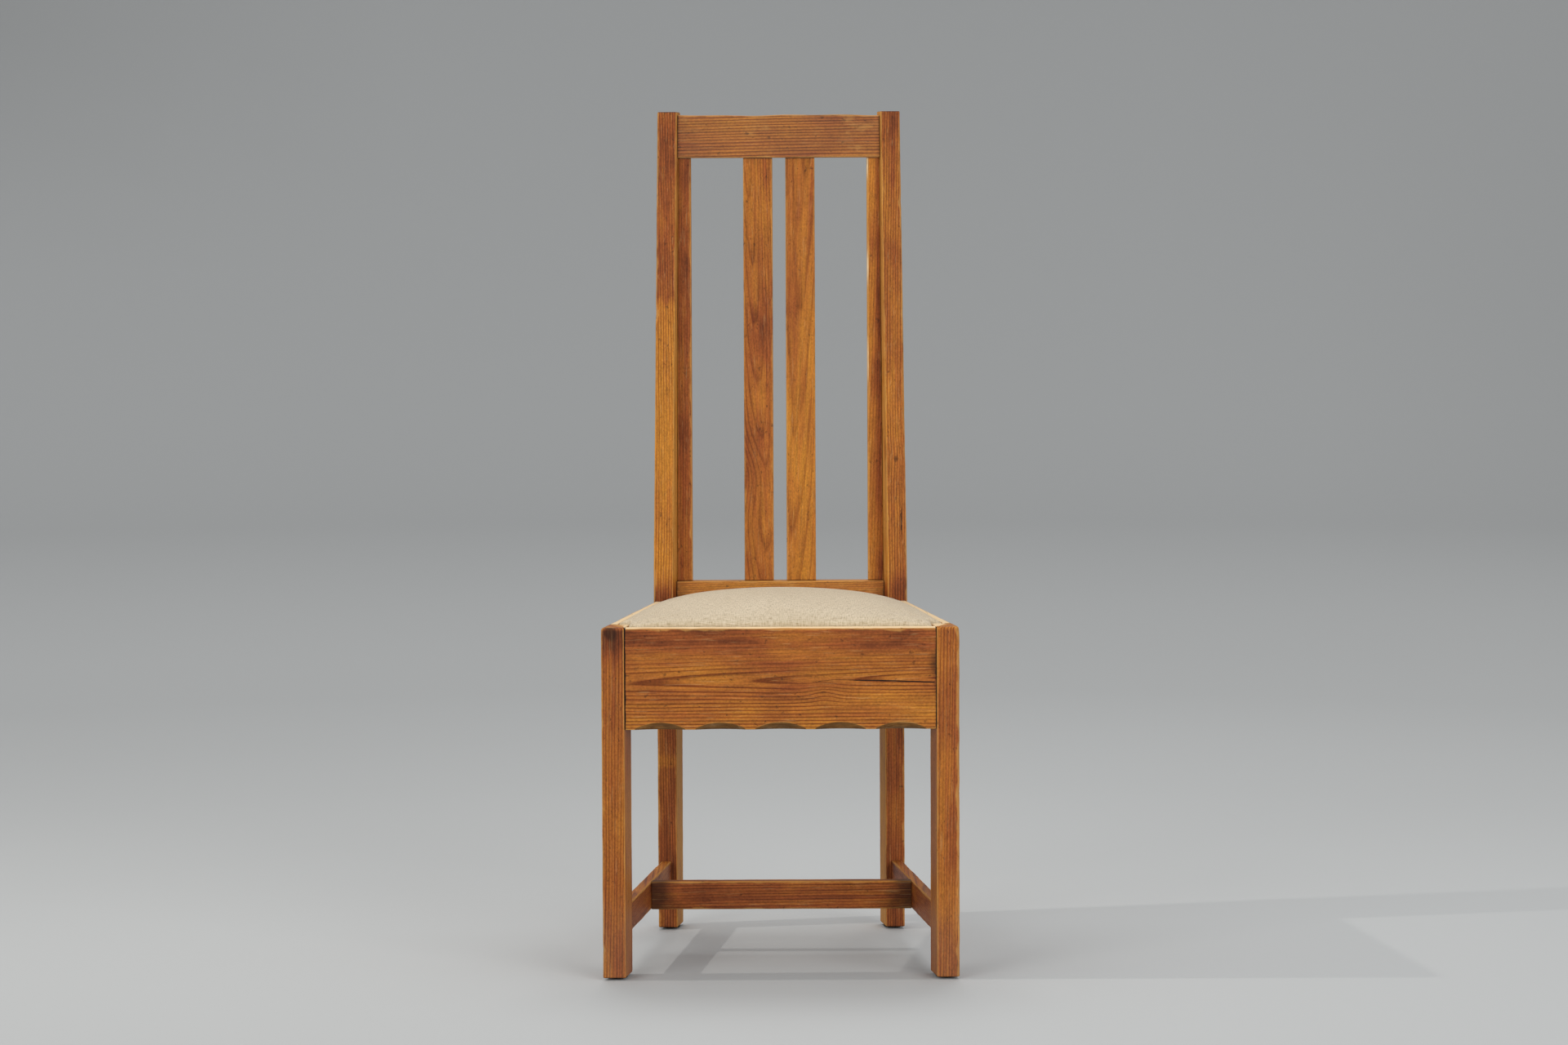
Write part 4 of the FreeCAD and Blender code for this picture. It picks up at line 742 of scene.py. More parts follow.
def lit_and_worn_top(points):
    """The top edges made golden, partly worn by shoes and partly painted light on the top faces."""
    return 0.3 * step_up(points[:, 2], STRETCHER_TOP - 1.6, 2.4)


for side, label in ((-1, "left"), (1, "right")):
    def stretcher_corners(y, side=side):
        face = stretcher_outer(y + HALF_DEPTH)
        back = face - STRETCHER_THICKNESS
        section = [(face, STRETCHER_BOTTOM), (face, STRETCHER_TOP), (back, STRETCHER_TOP),
                   (back, STRETCHER_BOTTOM)]
        return np.array([(side * x, y, z) for x, z in section])

    # Painted light and wear on the top faces: a thinner stain and golden wood
    board(f"side_stretcher_{label}_worn", 28 + side, "Y", STRETCHER_SPAN, stretcher_corners,
          [1.8, 2, 2, 1.8], (52, side * 12, 0.01, 0), grime=(0.95, 0.95),
          stain_and_light=lambda points: 0.74 - lit_and_worn_top(points), wear_and_light=lit_and_worn_top)


def cross_corners(x):
    section = [(CROSS_FRONT, STRETCHER_BOTTOM), (CROSS_FRONT, STRETCHER_TOP), (CROSS_BACK, STRETCHER_TOP),
               (CROSS_BACK, STRETCHER_BOTTOM)]
    return fanned(x, stretcher_inner, CROSS_FRONT, section)


CROSS_REACH = stretcher_inner(CROSS_FRONT) - END_GAP
# Painted light and wear on the top face: a thinner stain and golden wood
board("cross_stretcher_worn", 31, "X", (-CROSS_REACH, CROSS_REACH), cross_corners, [2, 2.2, 2, 1.8],
      (-44, 14, 0.015, 0), grime=(0.95, 0.95), stain_and_light=lambda points: 0.68 - lit_and_worn_top(points),
      wear_and_light=lambda points: 0.12 + lit_and_worn_top(points),
      soiled=lambda points: 0.85 * np.exp(-((CROSS_REACH - np.abs(points[:, 0])) / 42) ** 2),
      nicks=[(1, -90, 6, 1.0), (1, 60, 5, 1.2)])

# The corner blocks: raw softwood glued into the corners under the seat. They are the CAD's own solids, with
# the saw's marks and a hundred years of dust.


def raw_softwood():
    """Planed but unfinished spruce: pale straw, greyed by dust, with soft brown growth lines 3 mm apart."""
    material, tree = new_material("raw_spruce")
    place = add(tree, "ShaderNodeTexCoord").outputs["Object"]
    stretched = add(tree, "ShaderNodeVectorMath", {0: place, 1: (18, 130, 330)}, operation="MULTIPLY")
    grain = add(tree, "ShaderNodeTexNoise", {"Vector": stretched, "Scale": 1, "Detail": 3, "Roughness": 0.6})
    dust = add(tree, "ShaderNodeTexNoise", {"Vector": place, "Scale": 38, "Detail": 5})
    wood = add(tree, "ShaderNodeValToRGB", {0: grain}, stops=[
        (0.3, "#8C6A42"), (0.48, "#B8935F"), (0.7, "#CBA873")])
    worn = add(tree, "ShaderNodeMapRange", {"Value": dust, "From Min": 0.42, "From Max": 0.75, "To Max": 0.6})
    aged = add(tree, "ShaderNodeMix", {0: worn, 6: wood, 7: "#6A4F35"}, data_type="RGBA")
    bump = add(tree, "ShaderNodeBump", {"Height": grain, "Strength": 0.5, "Distance": 0.0004})
    shader = add(tree, "ShaderNodeBsdfPrincipled", {"Base Color": aged, "Roughness": 0.78, "Normal": bump})
    add(tree, "ShaderNodeOutputMaterial", {"Surface": shader})
    return material


def give(node_names, material):
    """Put a material on CAD nodes that stay as they are."""
    for node_name in node_names:
        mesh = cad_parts[node_name].data
        mesh.materials.clear()
        mesh.materials.append(material)


RAW_SPRUCE = raw_softwood()
give([f"corner_block_{end}_{label}" for end in ("front", "rear") for label in ("left", "right")], RAW_SPRUCE)

# The screws of the corner blocks: slotted steel wood screws with domed heads, two in each block, sunk in
# counterbores. One screw is made in a node tree and set on eight points that know which way its head faces.
SCREW_HEAD = 8
SCREW_HEAD_HEIGHT = 2.5
SCREW_SHANK = 4
SCREW_LENGTH = 26


def dulled_steel(name, dark, light):
    """Old mild steel, drawn and stamped, dulled by a thin brown rust bloom in patches."""
    material, tree = new_material(name)
    place = add(tree, "ShaderNodeTexCoord").outputs["Object"]
    bloom = add(tree, "ShaderNodeTexNoise", {"Vector": place, "Scale": 320, "Detail": 4})
    colour = add(tree, "ShaderNodeValToRGB", {0: bloom}, stops=[(0.35, dark), (0.62, light)])
    rough = add(tree, "ShaderNodeMapRange", {"Value": bloom, "From Min": 0.3, "From Max": 0.7, "To Min": 0.62,
                                             "To Max": 0.34})
    bump = add(tree, "ShaderNodeBump", {"Height": bloom, "Strength": 0.3, "Distance": 0.0002})
    shader = add(tree, "ShaderNodeBsdfPrincipled", {"Base Color": colour, "Metallic": 1.0, "Roughness": rough,
                                                    "Normal": bump})
    add(tree, "ShaderNodeOutputMaterial", {"Surface": shader})
    return material


def geometry_tree(name, sizes):
    """A geometry node tree with a mesh input and named sizes, and its group input and output nodes."""
    tree = bpy.data.node_groups.new(name, "GeometryNodeTree")
    tree.interface.new_socket("Geometry", in_out="INPUT", socket_type="NodeSocketGeometry")
    for size_name in sizes:
        tree.interface.new_socket(size_name, in_out="INPUT", socket_type="NodeSocketFloat")
    tree.interface.new_socket("Geometry", in_out="OUTPUT", socket_type="NodeSocketGeometry")
    return tree, add(tree, "NodeGroupInput")


def plain_mesh(thing):
    """What an object's modifiers make of it, as a plain mesh."""
    return bpy.data.meshes.new_from_object(thing.evaluated_get(bpy.context.evaluated_depsgraph_get()))


def grown(name, base, tree, sizes):
    """Run a node tree on a base mesh with sizes in millimetres and return the result as a plain mesh."""
    carrier = linked(name + "_points", base)
    modifier = carrier.modifiers.new(name, "NODES")
    modifier.node_group = tree
    for item in tree.interface.items_tree:
        if item.in_out == "INPUT" and item.name in sizes:
            modifier[item.identifier] = float(sizes[item.name] * MM)
    mesh = plain_mesh(carrier)
    mesh.name = name
    bpy.data.objects.remove(carrier)
    return mesh


def pointed(name, places, facings):
    """A mesh of loose points, each with the direction that its fastener's head faces."""
    mesh = bpy.data.meshes.new(name)
    mesh.from_pydata([[v * MM for v in place] for place in places], [], [])
    put_attribute(mesh, "facing", "FLOAT_VECTOR", facings)
    return mesh


def fastener_tree(name, material, slotted):
    """A domed head on a tapering shank, set on points and turned at random about its own axis."""
    sizes = ["Head", "Height", "Shank", "Length"]
    tree, given = geometry_tree(name, sizes)
    head_size, height, shank_size, length = (given.outputs[size] for size in sizes)
    head_radius = add(tree, "ShaderNodeMath", {0: head_size, 1: 2.0}, operation="DIVIDE")
    dome = add(tree, "GeometryNodeMeshUVSphere", {"Segments": 24, "Rings": 12, "Radius": 1.0})
    flat = add(tree, "ShaderNodeCombineXYZ", {0: head_radius, 1: head_radius, 2: height})
    dome = add(tree, "GeometryNodeTransform", {"Geometry": dome.outputs["Mesh"], "Scale": flat})
    shank_radius = add(tree, "ShaderNodeMath", {0: shank_size, 1: 2.0}, operation="DIVIDE")
    shank = add(tree, "GeometryNodeMeshCone", {
        "Vertices": 16, "Radius Top": shank_radius, "Radius Bottom": 0.0002, "Depth": length})
    drop = add(tree, "ShaderNodeMath", {0: length, 1: -1.0}, operation="MULTIPLY")
    down = add(tree, "ShaderNodeCombineXYZ", {2: drop})
    shank = add(tree, "GeometryNodeTransform", {"Geometry": shank.outputs["Mesh"], "Translation": down})
    cutter_size = add(tree, "ShaderNodeCombineXYZ", {0: head_size, 1: head_size, 2: height})
    below = add(tree, "GeometryNodeMeshCube", {"Size": cutter_size})
    half_drop = add(tree, "ShaderNodeMath", {0: height, 1: -0.5}, operation="MULTIPLY")
    half_down = add(tree, "ShaderNodeCombineXYZ", {2: half_drop})
    below = add(tree, "GeometryNodeTransform", {"Geometry": below.outputs["Mesh"], "Translation": half_down,
                                                "Scale": (1.2, 1.2, 1.0)})
    head = add(tree, "GeometryNodeMeshBoolean", {0: dome, 1: below}, operation="DIFFERENCE", solver="EXACT")
    if slotted:
        slot_width = add(tree, "ShaderNodeMath", {0: head_size, 1: 0.14}, operation="MULTIPLY")
        slot_size = add(tree, "ShaderNodeCombineXYZ", {0: head_size, 1: slot_width, 2: height})
        groove = add(tree, "GeometryNodeMeshCube", {"Size": slot_size})
        up = add(tree, "ShaderNodeCombineXYZ", {2: height})
        groove = add(tree, "GeometryNodeTransform", {
            "Geometry": groove.outputs["Mesh"], "Scale": (1.2, 1.0, 1.0), "Translation": up})
        head = add(tree, "GeometryNodeMeshBoolean", {0: head.outputs["Mesh"], 1: groove},
                   operation="DIFFERENCE", solver="EXACT")
    whole = add(tree, "GeometryNodeJoinGeometry")
    tree.links.new(shank.outputs[0], whole.inputs[0])
    tree.links.new(head.outputs[0], whole.inputs[0])
    facing = add(tree, "GeometryNodeInputNamedAttribute", {"Name": "facing"}, data_type="FLOAT_VECTOR")
    aim = add(tree, "FunctionNodeAlignRotationToVector", {"Vector": facing.outputs[0]}, axis="Z")
    twist = add(tree, "FunctionNodeRandomValue", {"Seed": 4, 2: 0.0, 3: math.pi}, data_type="FLOAT")
    spin = add(tree, "FunctionNodeAxisAngleToRotation", {"Axis": (0, 0, 1), "Angle": twist.outputs[1]})
    rotation = add(tree, "FunctionNodeRotateRotation", {0: aim, 1: spin}, rotation_space="LOCAL")
    set_out = add(tree, "GeometryNodeInstanceOnPoints", {"Points": given.outputs[0], "Instance": whole,
                                                         "Rotation": rotation})
    real = add(tree, "GeometryNodeRealizeInstances", {0: set_out})
    smooth = add(tree, "GeometryNodeSetShadeSmooth", {0: real})
    dressed = add(tree, "GeometryNodeSetMaterial", {0: smooth, "Material": material})
    add(tree, "NodeGroupOutput", {0: dressed})
    return tree


SCREW_OFFSET = 20
SCREW_IN_BLOCK = 12
HIGH_LINE = 416.5
LOW_LINE = 398.5
apron_line = APRON_BACK + SCREW_IN_BLOCK
rear_line = REAR_RAIL_FRONT - SCREW_IN_BLOCK
screw_places, screw_facings = [], []
for side in (-1, 1):
    by_leg = leg_inner(APRON_BACK) - SCREW_OFFSET
    by_post = post_inner(REAR_RAIL_FRONT) - SCREW_OFFSET
    screw_places.append((side * by_leg, apron_line - HALF_DEPTH, HIGH_LINE))
    screw_facings.append((0, 1, 0))
    screw_places.append((side * by_post, rear_line - HALF_DEPTH, HIGH_LINE))
    screw_facings.append((0, -1, 0))
    for depth in (LEG_DEPTH + SCREW_OFFSET, SEAT_DEPTH - SCREW_OFFSET):
        rail_face = outer(depth) - RAIL_REVEAL - RAIL_THICKNESS
        screw_places.append((side * (rail_face - SCREW_IN_BLOCK), depth - HALF_DEPTH, LOW_LINE))
        screw_facings.append((-side, 0, 0))
screw_steel = dulled_steel("dulled_screw_steel", "#3E3A36", "#8C8780")
screws = grown("corner_block_screws_slotted", pointed("screw_points", screw_places, screw_facings),
               fastener_tree("slotted_wood_screws", screw_steel, True),
               {"Head": SCREW_HEAD, "Height": SCREW_HEAD_HEIGHT, "Shank": SCREW_SHANK,
                "Length": SCREW_LENGTH})
placed("corner_block_screws_slotted", screws, "corner_block_screws", "frame")

# The glides: black moulded discs on nails, knocked into the end grain of each foot. Their rims are rounded,
# and scuffed by a hard floor.
GLIDE_RADIUS = 12.5
NAIL_RADIUS = 1.2
NAIL_LENGTH = 18
NAIL_POINT = 4
GLIDE_TURNS = 40


def black_glide():
    """Moulded black polyethylene, matt, greyed by scuffs and floor dust."""
    material, tree = new_material("black_polyethylene")
    place = add(tree, "ShaderNodeTexCoord").outputs["Object"]
    scuff = add(tree, "ShaderNodeTexNoise", {"Vector": place, "Scale": 260, "Detail": 5, "Roughness": 0.7})
    colour = add(tree, "ShaderNodeValToRGB", {0: scuff}, stops=[(0.45, "#141312"), (0.75, "#4A4742")])
    bump = add(tree, "ShaderNodeBump", {"Height": scuff, "Strength": 0.4, "Distance": 0.0002})
    shader = add(tree, "ShaderNodeBsdfPrincipled", {"Base Color": colour, "Roughness": 0.62, "Normal": bump})
    add(tree, "ShaderNodeOutputMaterial", {"Surface": shader})
    return material


def turned(profile, segments):
    """A closed mesh of revolution about the Z axis from (radius, height) points that start and end on the
    axis."""
    points, faces = [(0, 0, profile[0][1])], []
    for radius, height in profile[1:-1]:
        points += [(radius * math.cos(a), radius * math.sin(a), height)
                   for a in np.linspace(0, 2 * math.pi, segments, endpoint=False)]
    points.append((0, 0, profile[-1][1]))
    last = len(points) - 1
    for s in range(segments):
        n = (s + 1) % segments
        faces.append((0, 1 + n, 1 + s))
        faces.append((last, last - segments + s, last - segments + n))
        for row in range(len(profile) - 3):
            a, b = 1 + row * segments, 1 + (row + 1) * segments
            faces.append((a + s, a + n, b + n, b + s))
    return points, faces


BLACK_GLIDE = black_glide()
REAR_FOOT_MIDDLE = REAR_LEG_FRONT + 23
rim = [(0, 0), (9.5, 0), (11.4, 0.25), (12.2, 0.8), (GLIDE_RADIUS, 1.6), (GLIDE_RADIUS, 2.6),
       (12.1, GLIDE_HEIGHT), (NAIL_RADIUS, GLIDE_HEIGHT),
       (NAIL_RADIUS, GLIDE_HEIGHT + NAIL_LENGTH - NAIL_POINT), (0, GLIDE_HEIGHT + NAIL_LENGTH)]
points, faces = turned(rim, GLIDE_TURNS)
for end, depth, width in (("front", LEG_DEPTH / 2, LEG_WIDTH), ("rear", REAR_FOOT_MIDDLE, POST_WIDTH)):
    for side, label in ((-1, "left"), (1, "right")):
        node = f"glide_{end}_{label}"
        foot = [side * (outer(depth) - width / 2), depth - HALF_DEPTH, 0]
        mesh = shaped(node + "_moulded", np.array(points) + foot, faces)
        mesh.materials.append(BLACK_GLIDE)
        placed(node + "_moulded", mesh, node, "frame")

# The loose seat's frame: four softwood bars, half-lapped and glued, that lie in the rebates with a little
# play. They are the CAD's own solids in raw spruce.
SEAT_GAP = 1.5
APRON_LAND_BACK = APRON_FRONT + RAIL_LAND
SIDE_LAND_BACK = RAIL_REVEAL + RAIL_LAND
SEAT_FRONT = APRON_LAND_BACK + SEAT_GAP
SEAT_REAR = REAR_RAIL_FRONT - SEAT_GAP
SEAT_SIDE = SIDE_LAND_BACK + SEAT_GAP
SEAT_MIDDLE = (SEAT_FRONT + SEAT_REAR) / 2
give([f"seat_frame_{place}" for place in ("front", "rear", "left", "right")], RAW_SPRUCE)

# The webbing: six jute straps tacked over the seat frame, three from front to back and three across on top of
# them. Each is a flat woven band with rounded selvedges that sinks a little between its tacks.
STRAP_WIDTH = 50
STRAP_THICKNESS = 1.5
STRAP_SPACING = 75
STRAP_PITCH = 95
STRAP_MARGIN = 7.2
STRAP_SAG = 0.5
TWILL_THREAD = 2.5
SEAT_FRAME_TOP = 444
STRAP_CLIMB = STRAP_SPACING + STRAP_WIDTH / 2 + 3
STRAP_LANDING = STRAP_CLIMB + 6


def jute_webbing():
    """Jute upholstery webbing: a coarse brown twill, drawn 2.5 mm to the thread, with a dark stripe near each
    edge."""
    material, tree = new_material("jute_webbing_twill")
    place = add(tree, "ShaderNodeAttribute", attribute_name="strap").outputs["Vector"]
    parts = add(tree, "ShaderNodeSeparateXYZ", {0: place})
    slant = add(tree, "ShaderNodeMath", {0: parts.outputs[0], 1: parts.outputs[1]}, operation="ADD")
    waves = []
    for way in (slant, parts.outputs[1]):
        turns = add(tree, "ShaderNodeMath", {0: way, 1: 2 * math.pi / (TWILL_THREAD * MM)},
                    operation="MULTIPLY")
        waves.append(add(tree, "ShaderNodeMath", {0: turns}, operation="SINE"))
    weave = add(tree, "ShaderNodeMath", {0: waves[0], 1: waves[1]}, operation="ADD")
    hair = add(tree, "ShaderNodeTexNoise", {"Vector": place, "Scale": 700, "Detail": 4})
    height = add(tree, "ShaderNodeMath", {0: weave, 1: hair}, operation="ADD")
    tone = add(tree, "ShaderNodeMapRange", {"Value": height, "From Min": -1.6, "From Max": 2.4})
    colour = add(tree, "ShaderNodeValToRGB", {0: tone}, stops=[
        (0, "#4E3A22"), (0.5, "#8F6F45"), (1, "#B6935F")])
    from_middle = add(tree, "ShaderNodeMath", {0: parts.outputs[1]}, operation="ABSOLUTE")
    stripe = add(tree, "ShaderNodeMath", {0: from_middle, 1: 0.017, 2: 0.0018}, operation="COMPARE")
    colour = add(tree, "ShaderNodeMix", {0: stripe, 6: colour, 7: "#3B2A1B"}, data_type="RGBA")
    bump = add(tree, "ShaderNodeBump", {"Height": height, "Strength": 0.6, "Distance": 0.0006})
    shader = add(tree, "ShaderNodeBsdfPrincipled", {"Base Color": colour, "Roughness": 0.9, "Normal": bump})
    add(tree, "ShaderNodeOutputMaterial", {"Surface": shader})
    return material


def straps(name, rows, node):
    """Woven bands, each given as centre line points and the direction across it, joined in one mesh."""
    points, faces, marks = [], [], []
    profile = [(-25, 0.5), (-24.4, 0.05), (-20, 0), (-8, 0), (8, 0), (20, 0), (24.4, 0.05), (25, 0.5),
               (25, 1.0), (24.4, 1.45), (20, 1.5), (8, 1.5), (-8, 1.5), (-20, 1.5), (-24.4, 1.45), (-25, 1.0)]
    size = len(profile)
    for line, across in rows:
        base = len(points)
        travelled = np.concatenate([[0], np.cumsum(np.linalg.norm(np.diff(line, axis=0), axis=1))])
        for place, distance in zip(line, travelled):
            for offset, height in profile:
                points.append(np.array(place) + np.array(across) * offset + np.array([0, 0, height]))
                marks.append((distance, offset, height))
        for ring in range(len(line) - 1):
            a, b = base + ring * size, base + (ring + 1) * size
            faces += [(a + p, a + (p + 1) % size, b + (p + 1) % size, b + p) for p in range(size)]
        last = base + (len(line) - 1) * size
        faces += [tuple(range(base, base + size)), tuple(range(last, last + size))]
    mesh = shaped(name, points, faces)
    put_attribute(mesh, "strap", "FLOAT_VECTOR", np.array(marks) * MM)
    mesh.materials.append(JUTE)
    placed(name, mesh, node, "seat")


JUTE = jute_webbing()
lengthwise, crosswise = [], []
for number in (-1, 0, 1):
    depths = np.linspace(SEAT_FRONT + STRAP_MARGIN, SEAT_REAR - STRAP_MARGIN, 76)
    heights = SEAT_FRAME_TOP - STRAP_SAG * np.exp(-((depths - SEAT_MIDDLE) / 110) ** 4)
    line = [(number * STRAP_SPACING, depth - HALF_DEPTH, height) for depth, height in zip(depths, heights)]
    lengthwise.append((line, (1, 0, 0)))
    centre = (LEG_DEPTH + SEAT_DEPTH) / 2 + number * STRAP_PITCH
    reach = outer(centre + STRAP_WIDTH / 2) - SEAT_SIDE - STRAP_MARGIN
    across = np.linspace(-reach, reach, 90)
    climb = 1 - step_up(np.abs(across), (STRAP_CLIMB + STRAP_LANDING) / 2, STRAP_LANDING - STRAP_CLIMB + 4)
    line = [(x, centre - HALF_DEPTH, SEAT_FRAME_TOP + STRAP_THICKNESS * share)
            for x, share in zip(across, climb)]
    crosswise.append((line, (0, 1, 0)))
straps("webbing_lengthwise_woven", lengthwise, "webbing_lengthwise")
straps("webbing_crosswise_woven", crosswise, "webbing_crosswise")

# The hessian: open jute cloth stretched over the webbing, under the stuffing. It is one sheet with cut
# corners, and its threads make it slightly uneven.
HESSIAN_BOTTOM = 447
HESSIAN_THICKNESS = 0.8
HESSIAN_INSET = 5.2
HESSIAN_YARN = 2.2


def seat_plan(inset):
    """The seat's outline inside the rebates, cut out round the legs and posts, drawn in by inset."""
    gap = SEAT_GAP + inset
    front, leg, post, rear = APRON_LAND_BACK + gap, LEG_DEPTH + gap, SEAT_DEPTH - gap, REAR_RAIL_FRONT - gap
    half = [(leg_inner(front) - gap, front), (leg_inner(leg) - gap, leg),
            (outer(leg) - SIDE_LAND_BACK - gap, leg), (outer(post) - SIDE_LAND_BACK - gap, post),
            (post_inner(post) - gap, post), (post_inner(rear) - gap, rear)]
    return [(-x, y - HALF_DEPTH) for x, y in half] + [(x, y - HALF_DEPTH) for x, y in reversed(half)]


def extruded(plan, low, high):
    """A closed prism over a plan as a bmesh, in metres."""
    build = bmesh.new()
    face = build.faces.new([build.verts.new((x * MM, y * MM, low * MM)) for x, y in plan])
    lifted = bmesh.ops.extrude_face_region(build, geom=[face])
    for vertex in lifted["geom"]:
        if isinstance(vertex, bmesh.types.BMVert):
            vertex.co.z = high * MM
    bmesh.ops.recalc_face_normals(build, faces=build.faces)
    return build


def sliced(build, step):
    """Cut a bmesh by a grid of upright planes so that it can bend."""
    for normal in (Vector((1, 0, 0)), Vector((0, 1, 0))):
        for place in np.arange(-220, 221, step):
            geometry = build.verts[:] + build.edges[:] + build.faces[:]
            bmesh.ops.bisect_plane(build, geom=geometry, plane_co=normal * float(place) * MM, plane_no=normal)


def as_mesh(build, name):
    """A bmesh as a mesh. The bmesh is used up."""
    mesh = bpy.data.meshes.new(name)
    build.to_mesh(mesh)
    build.free()
    return mesh


def hessian():
    """Hessian: plain-woven jute, open enough to see each yarn, drawn 2.2 mm to the yarn."""
    material, tree = new_material("hessian_plain_weave")
    place = add(tree, "ShaderNodeTexCoord").outputs["Object"]
    parts = add(tree, "ShaderNodeSeparateXYZ", {0: place})
    waves = []
    for axis in (0, 1):
        turns = add(tree, "ShaderNodeMath", {0: parts.outputs[axis], 1: 2 * math.pi / (HESSIAN_YARN * MM)},
                    operation="MULTIPLY")
        waves.append(add(tree, "ShaderNodeMath", {0: turns}, operation="SINE"))
    weave = add(tree, "ShaderNodeMath", {0: waves[0], 1: waves[1]}, operation="MAXIMUM")
    slub = add(tree, "ShaderNodeTexNoise", {"Vector": place, "Scale": 420, "Detail": 4})
    height = add(tree, "ShaderNodeMath", {0: weave, 1: slub}, operation="ADD")
    tone = add(tree, "ShaderNodeMapRange", {"Value": height, "From Min": -0.4, "From Max": 1.7})
    colour = add(tree, "ShaderNodeValToRGB", {0: tone}, stops=[
        (0, "#3E2E1B"), (0.45, "#8A6C43"), (1, "#B99A67")])
    bump = add(tree, "ShaderNodeBump", {"Height": height, "Strength": 0.6, "Distance": 0.0005})
    shader = add(tree, "ShaderNodeBsdfPrincipled", {"Base Color": colour, "Roughness": 0.92, "Normal": bump})
    add(tree, "ShaderNodeOutputMaterial", {"Surface": shader})
    return material


cloth_plan = seat_plan(HESSIAN_INSET)
build = extruded(cloth_plan, HESSIAN_BOTTOM + 0.1, HESSIAN_BOTTOM + HESSIAN_THICKNESS)
sliced(build, 12)
for vertex in build.verts:
    vertex.co.z += 0.00012 * math.sin(vertex.co.x * 260) * math.sin(vertex.co.y * 240) - 0.00012
mesh = as_mesh(build, "seat_hessian_woven")
mesh.materials.append(hessian())
hessian_cloth = placed("seat_hessian_woven", mesh, "seat_hessian", "seat")

# The stuffed seat: a linen cover drawn tight over wadding and hair, turned under the frame and tacked. One
# pass of cloth simulation blows the cover up against its pinned edges, which gives the crown. Below that, its
# walls are drawn square over the frame.
SEAT_FLOOR = 426.8
PAD_BOTTOM = 447.8
COVER_EDGE = 452.3
EDGE_ARCH = 3.5
CROWN_TOP = 479.3
COVER_THICKNESS = 1.2
TURN_UNDER = 23.0
WALL_TOP = 449.0
TURNED = [(0, 446), (0, 440), (0, 434), (0, 428.8), (0.35, 427.2), (1.6, 426.9), (8, 426.85), (16, 426.85),
          (TURN_UNDER, 426.85)]
LINEN_THICKNESS = 1.0
LINEN_YARN = 1.5
FORM_INSET = 0.3
HALF_SEAT = (SEAT_REAR - SEAT_FRONT) / 2
PINNED_BELOW = 452.5
FORM_VOXEL = 5
LAST_FRAME = 20
LONGEST_MOVE = 8
SIDEWAYS_SHARE = 0.35
PAD_INSET = COVER_THICKNESS + 0.6


def crown(x, y, top):
    """Height of the stuffed seat over its plan before it is blown up: highest in the middle, low along its
    edges."""
    depth = y + HALF_DEPTH
    along = np.clip(1 - ((depth - SEAT_MIDDLE) / HALF_SEAT) ** 2, 0, 1) ** 0.8
    across = np.clip(1 - (x / (outer(depth) - SEAT_SIDE)) ** 2, 0, 1) ** 0.7
    return COVER_EDGE + (EDGE_ARCH + (top - EDGE_ARCH - COVER_EDGE) * along) * across


build = extruded(seat_plan(FORM_INSET), SEAT_FLOOR + FORM_INSET, COVER_EDGE)
sliced(build, 10)
for vertex in build.verts:
    if vertex.co.z > PAD_BOTTOM * MM:
        vertex.co.z = crown(vertex.co.x / MM, vertex.co.y / MM, CROWN_TOP - 4) * MM
form = linked("seat_form", as_mesh(build, "seat_form"))
remesh = form.modifiers.new("voxels", "REMESH")
remesh.mode = "VOXEL"
remesh.voxel_size = FORM_VOXEL * MM
plain = plain_mesh(form)
form.modifiers.clear()
form.data = plain
start = np.array([vertex.co for vertex in plain.vertices])
end = start.copy()
pinned = form.vertex_groups.new(name="edge")
pinned.add([i for i, place in enumerate(start) if place[2] < PINNED_BELOW * MM], 1.0, "REPLACE")
cloth = form.modifiers.new("linen", "CLOTH")
cloth.settings.quality = 6
cloth.settings.mass = 0.3
cloth.settings.tension_stiffness = 20
cloth.settings.compression_stiffness = 20
cloth.settings.shear_stiffness = 10
cloth.settings.bending_stiffness = 0.6
cloth.settings.use_pressure = True
cloth.settings.uniform_pressure_force = 4
cloth.settings.vertex_group_mass = "edge"
cloth.settings.effector_weights.gravity = 0
cloth.point_cache.frame_start = 1
cloth.point_cache.frame_end = LAST_FRAME
for moment in range(1, LAST_FRAME + 1):
    bpy.context.scene.frame_set(moment)
blown = plain_mesh(form)
bpy.context.scene.frame_set(1)
form.modifiers.clear()
end = np.array([vertex.co for vertex in blown.vertices])
shift = end - start
length = np.linalg.norm(shift, axis=1, keepdims=True)
shift = shift * np.minimum(1, LONGEST_MOVE * MM / np.maximum(length, 1e-9))
shift[:, :2] *= SIDEWAYS_SHARE
end = start + shift
edge_height = COVER_EDGE * MM
rise = end[:, 2] > edge_height
stretch = (CROWN_TOP - COVER_EDGE) * MM / (end[:, 2].max() - edge_height)
end[rise, 2] = edge_height + (end[rise, 2] - edge_height) * stretch
plain.vertices.foreach_set("co", end.astype(np.float32).ravel())
plain.update()
finer = form.modifiers.new("finer", "SUBSURF")
finer.levels = finer.render_levels = 1
seat_skin = plain_mesh(form)
bpy.data.objects.remove(form)


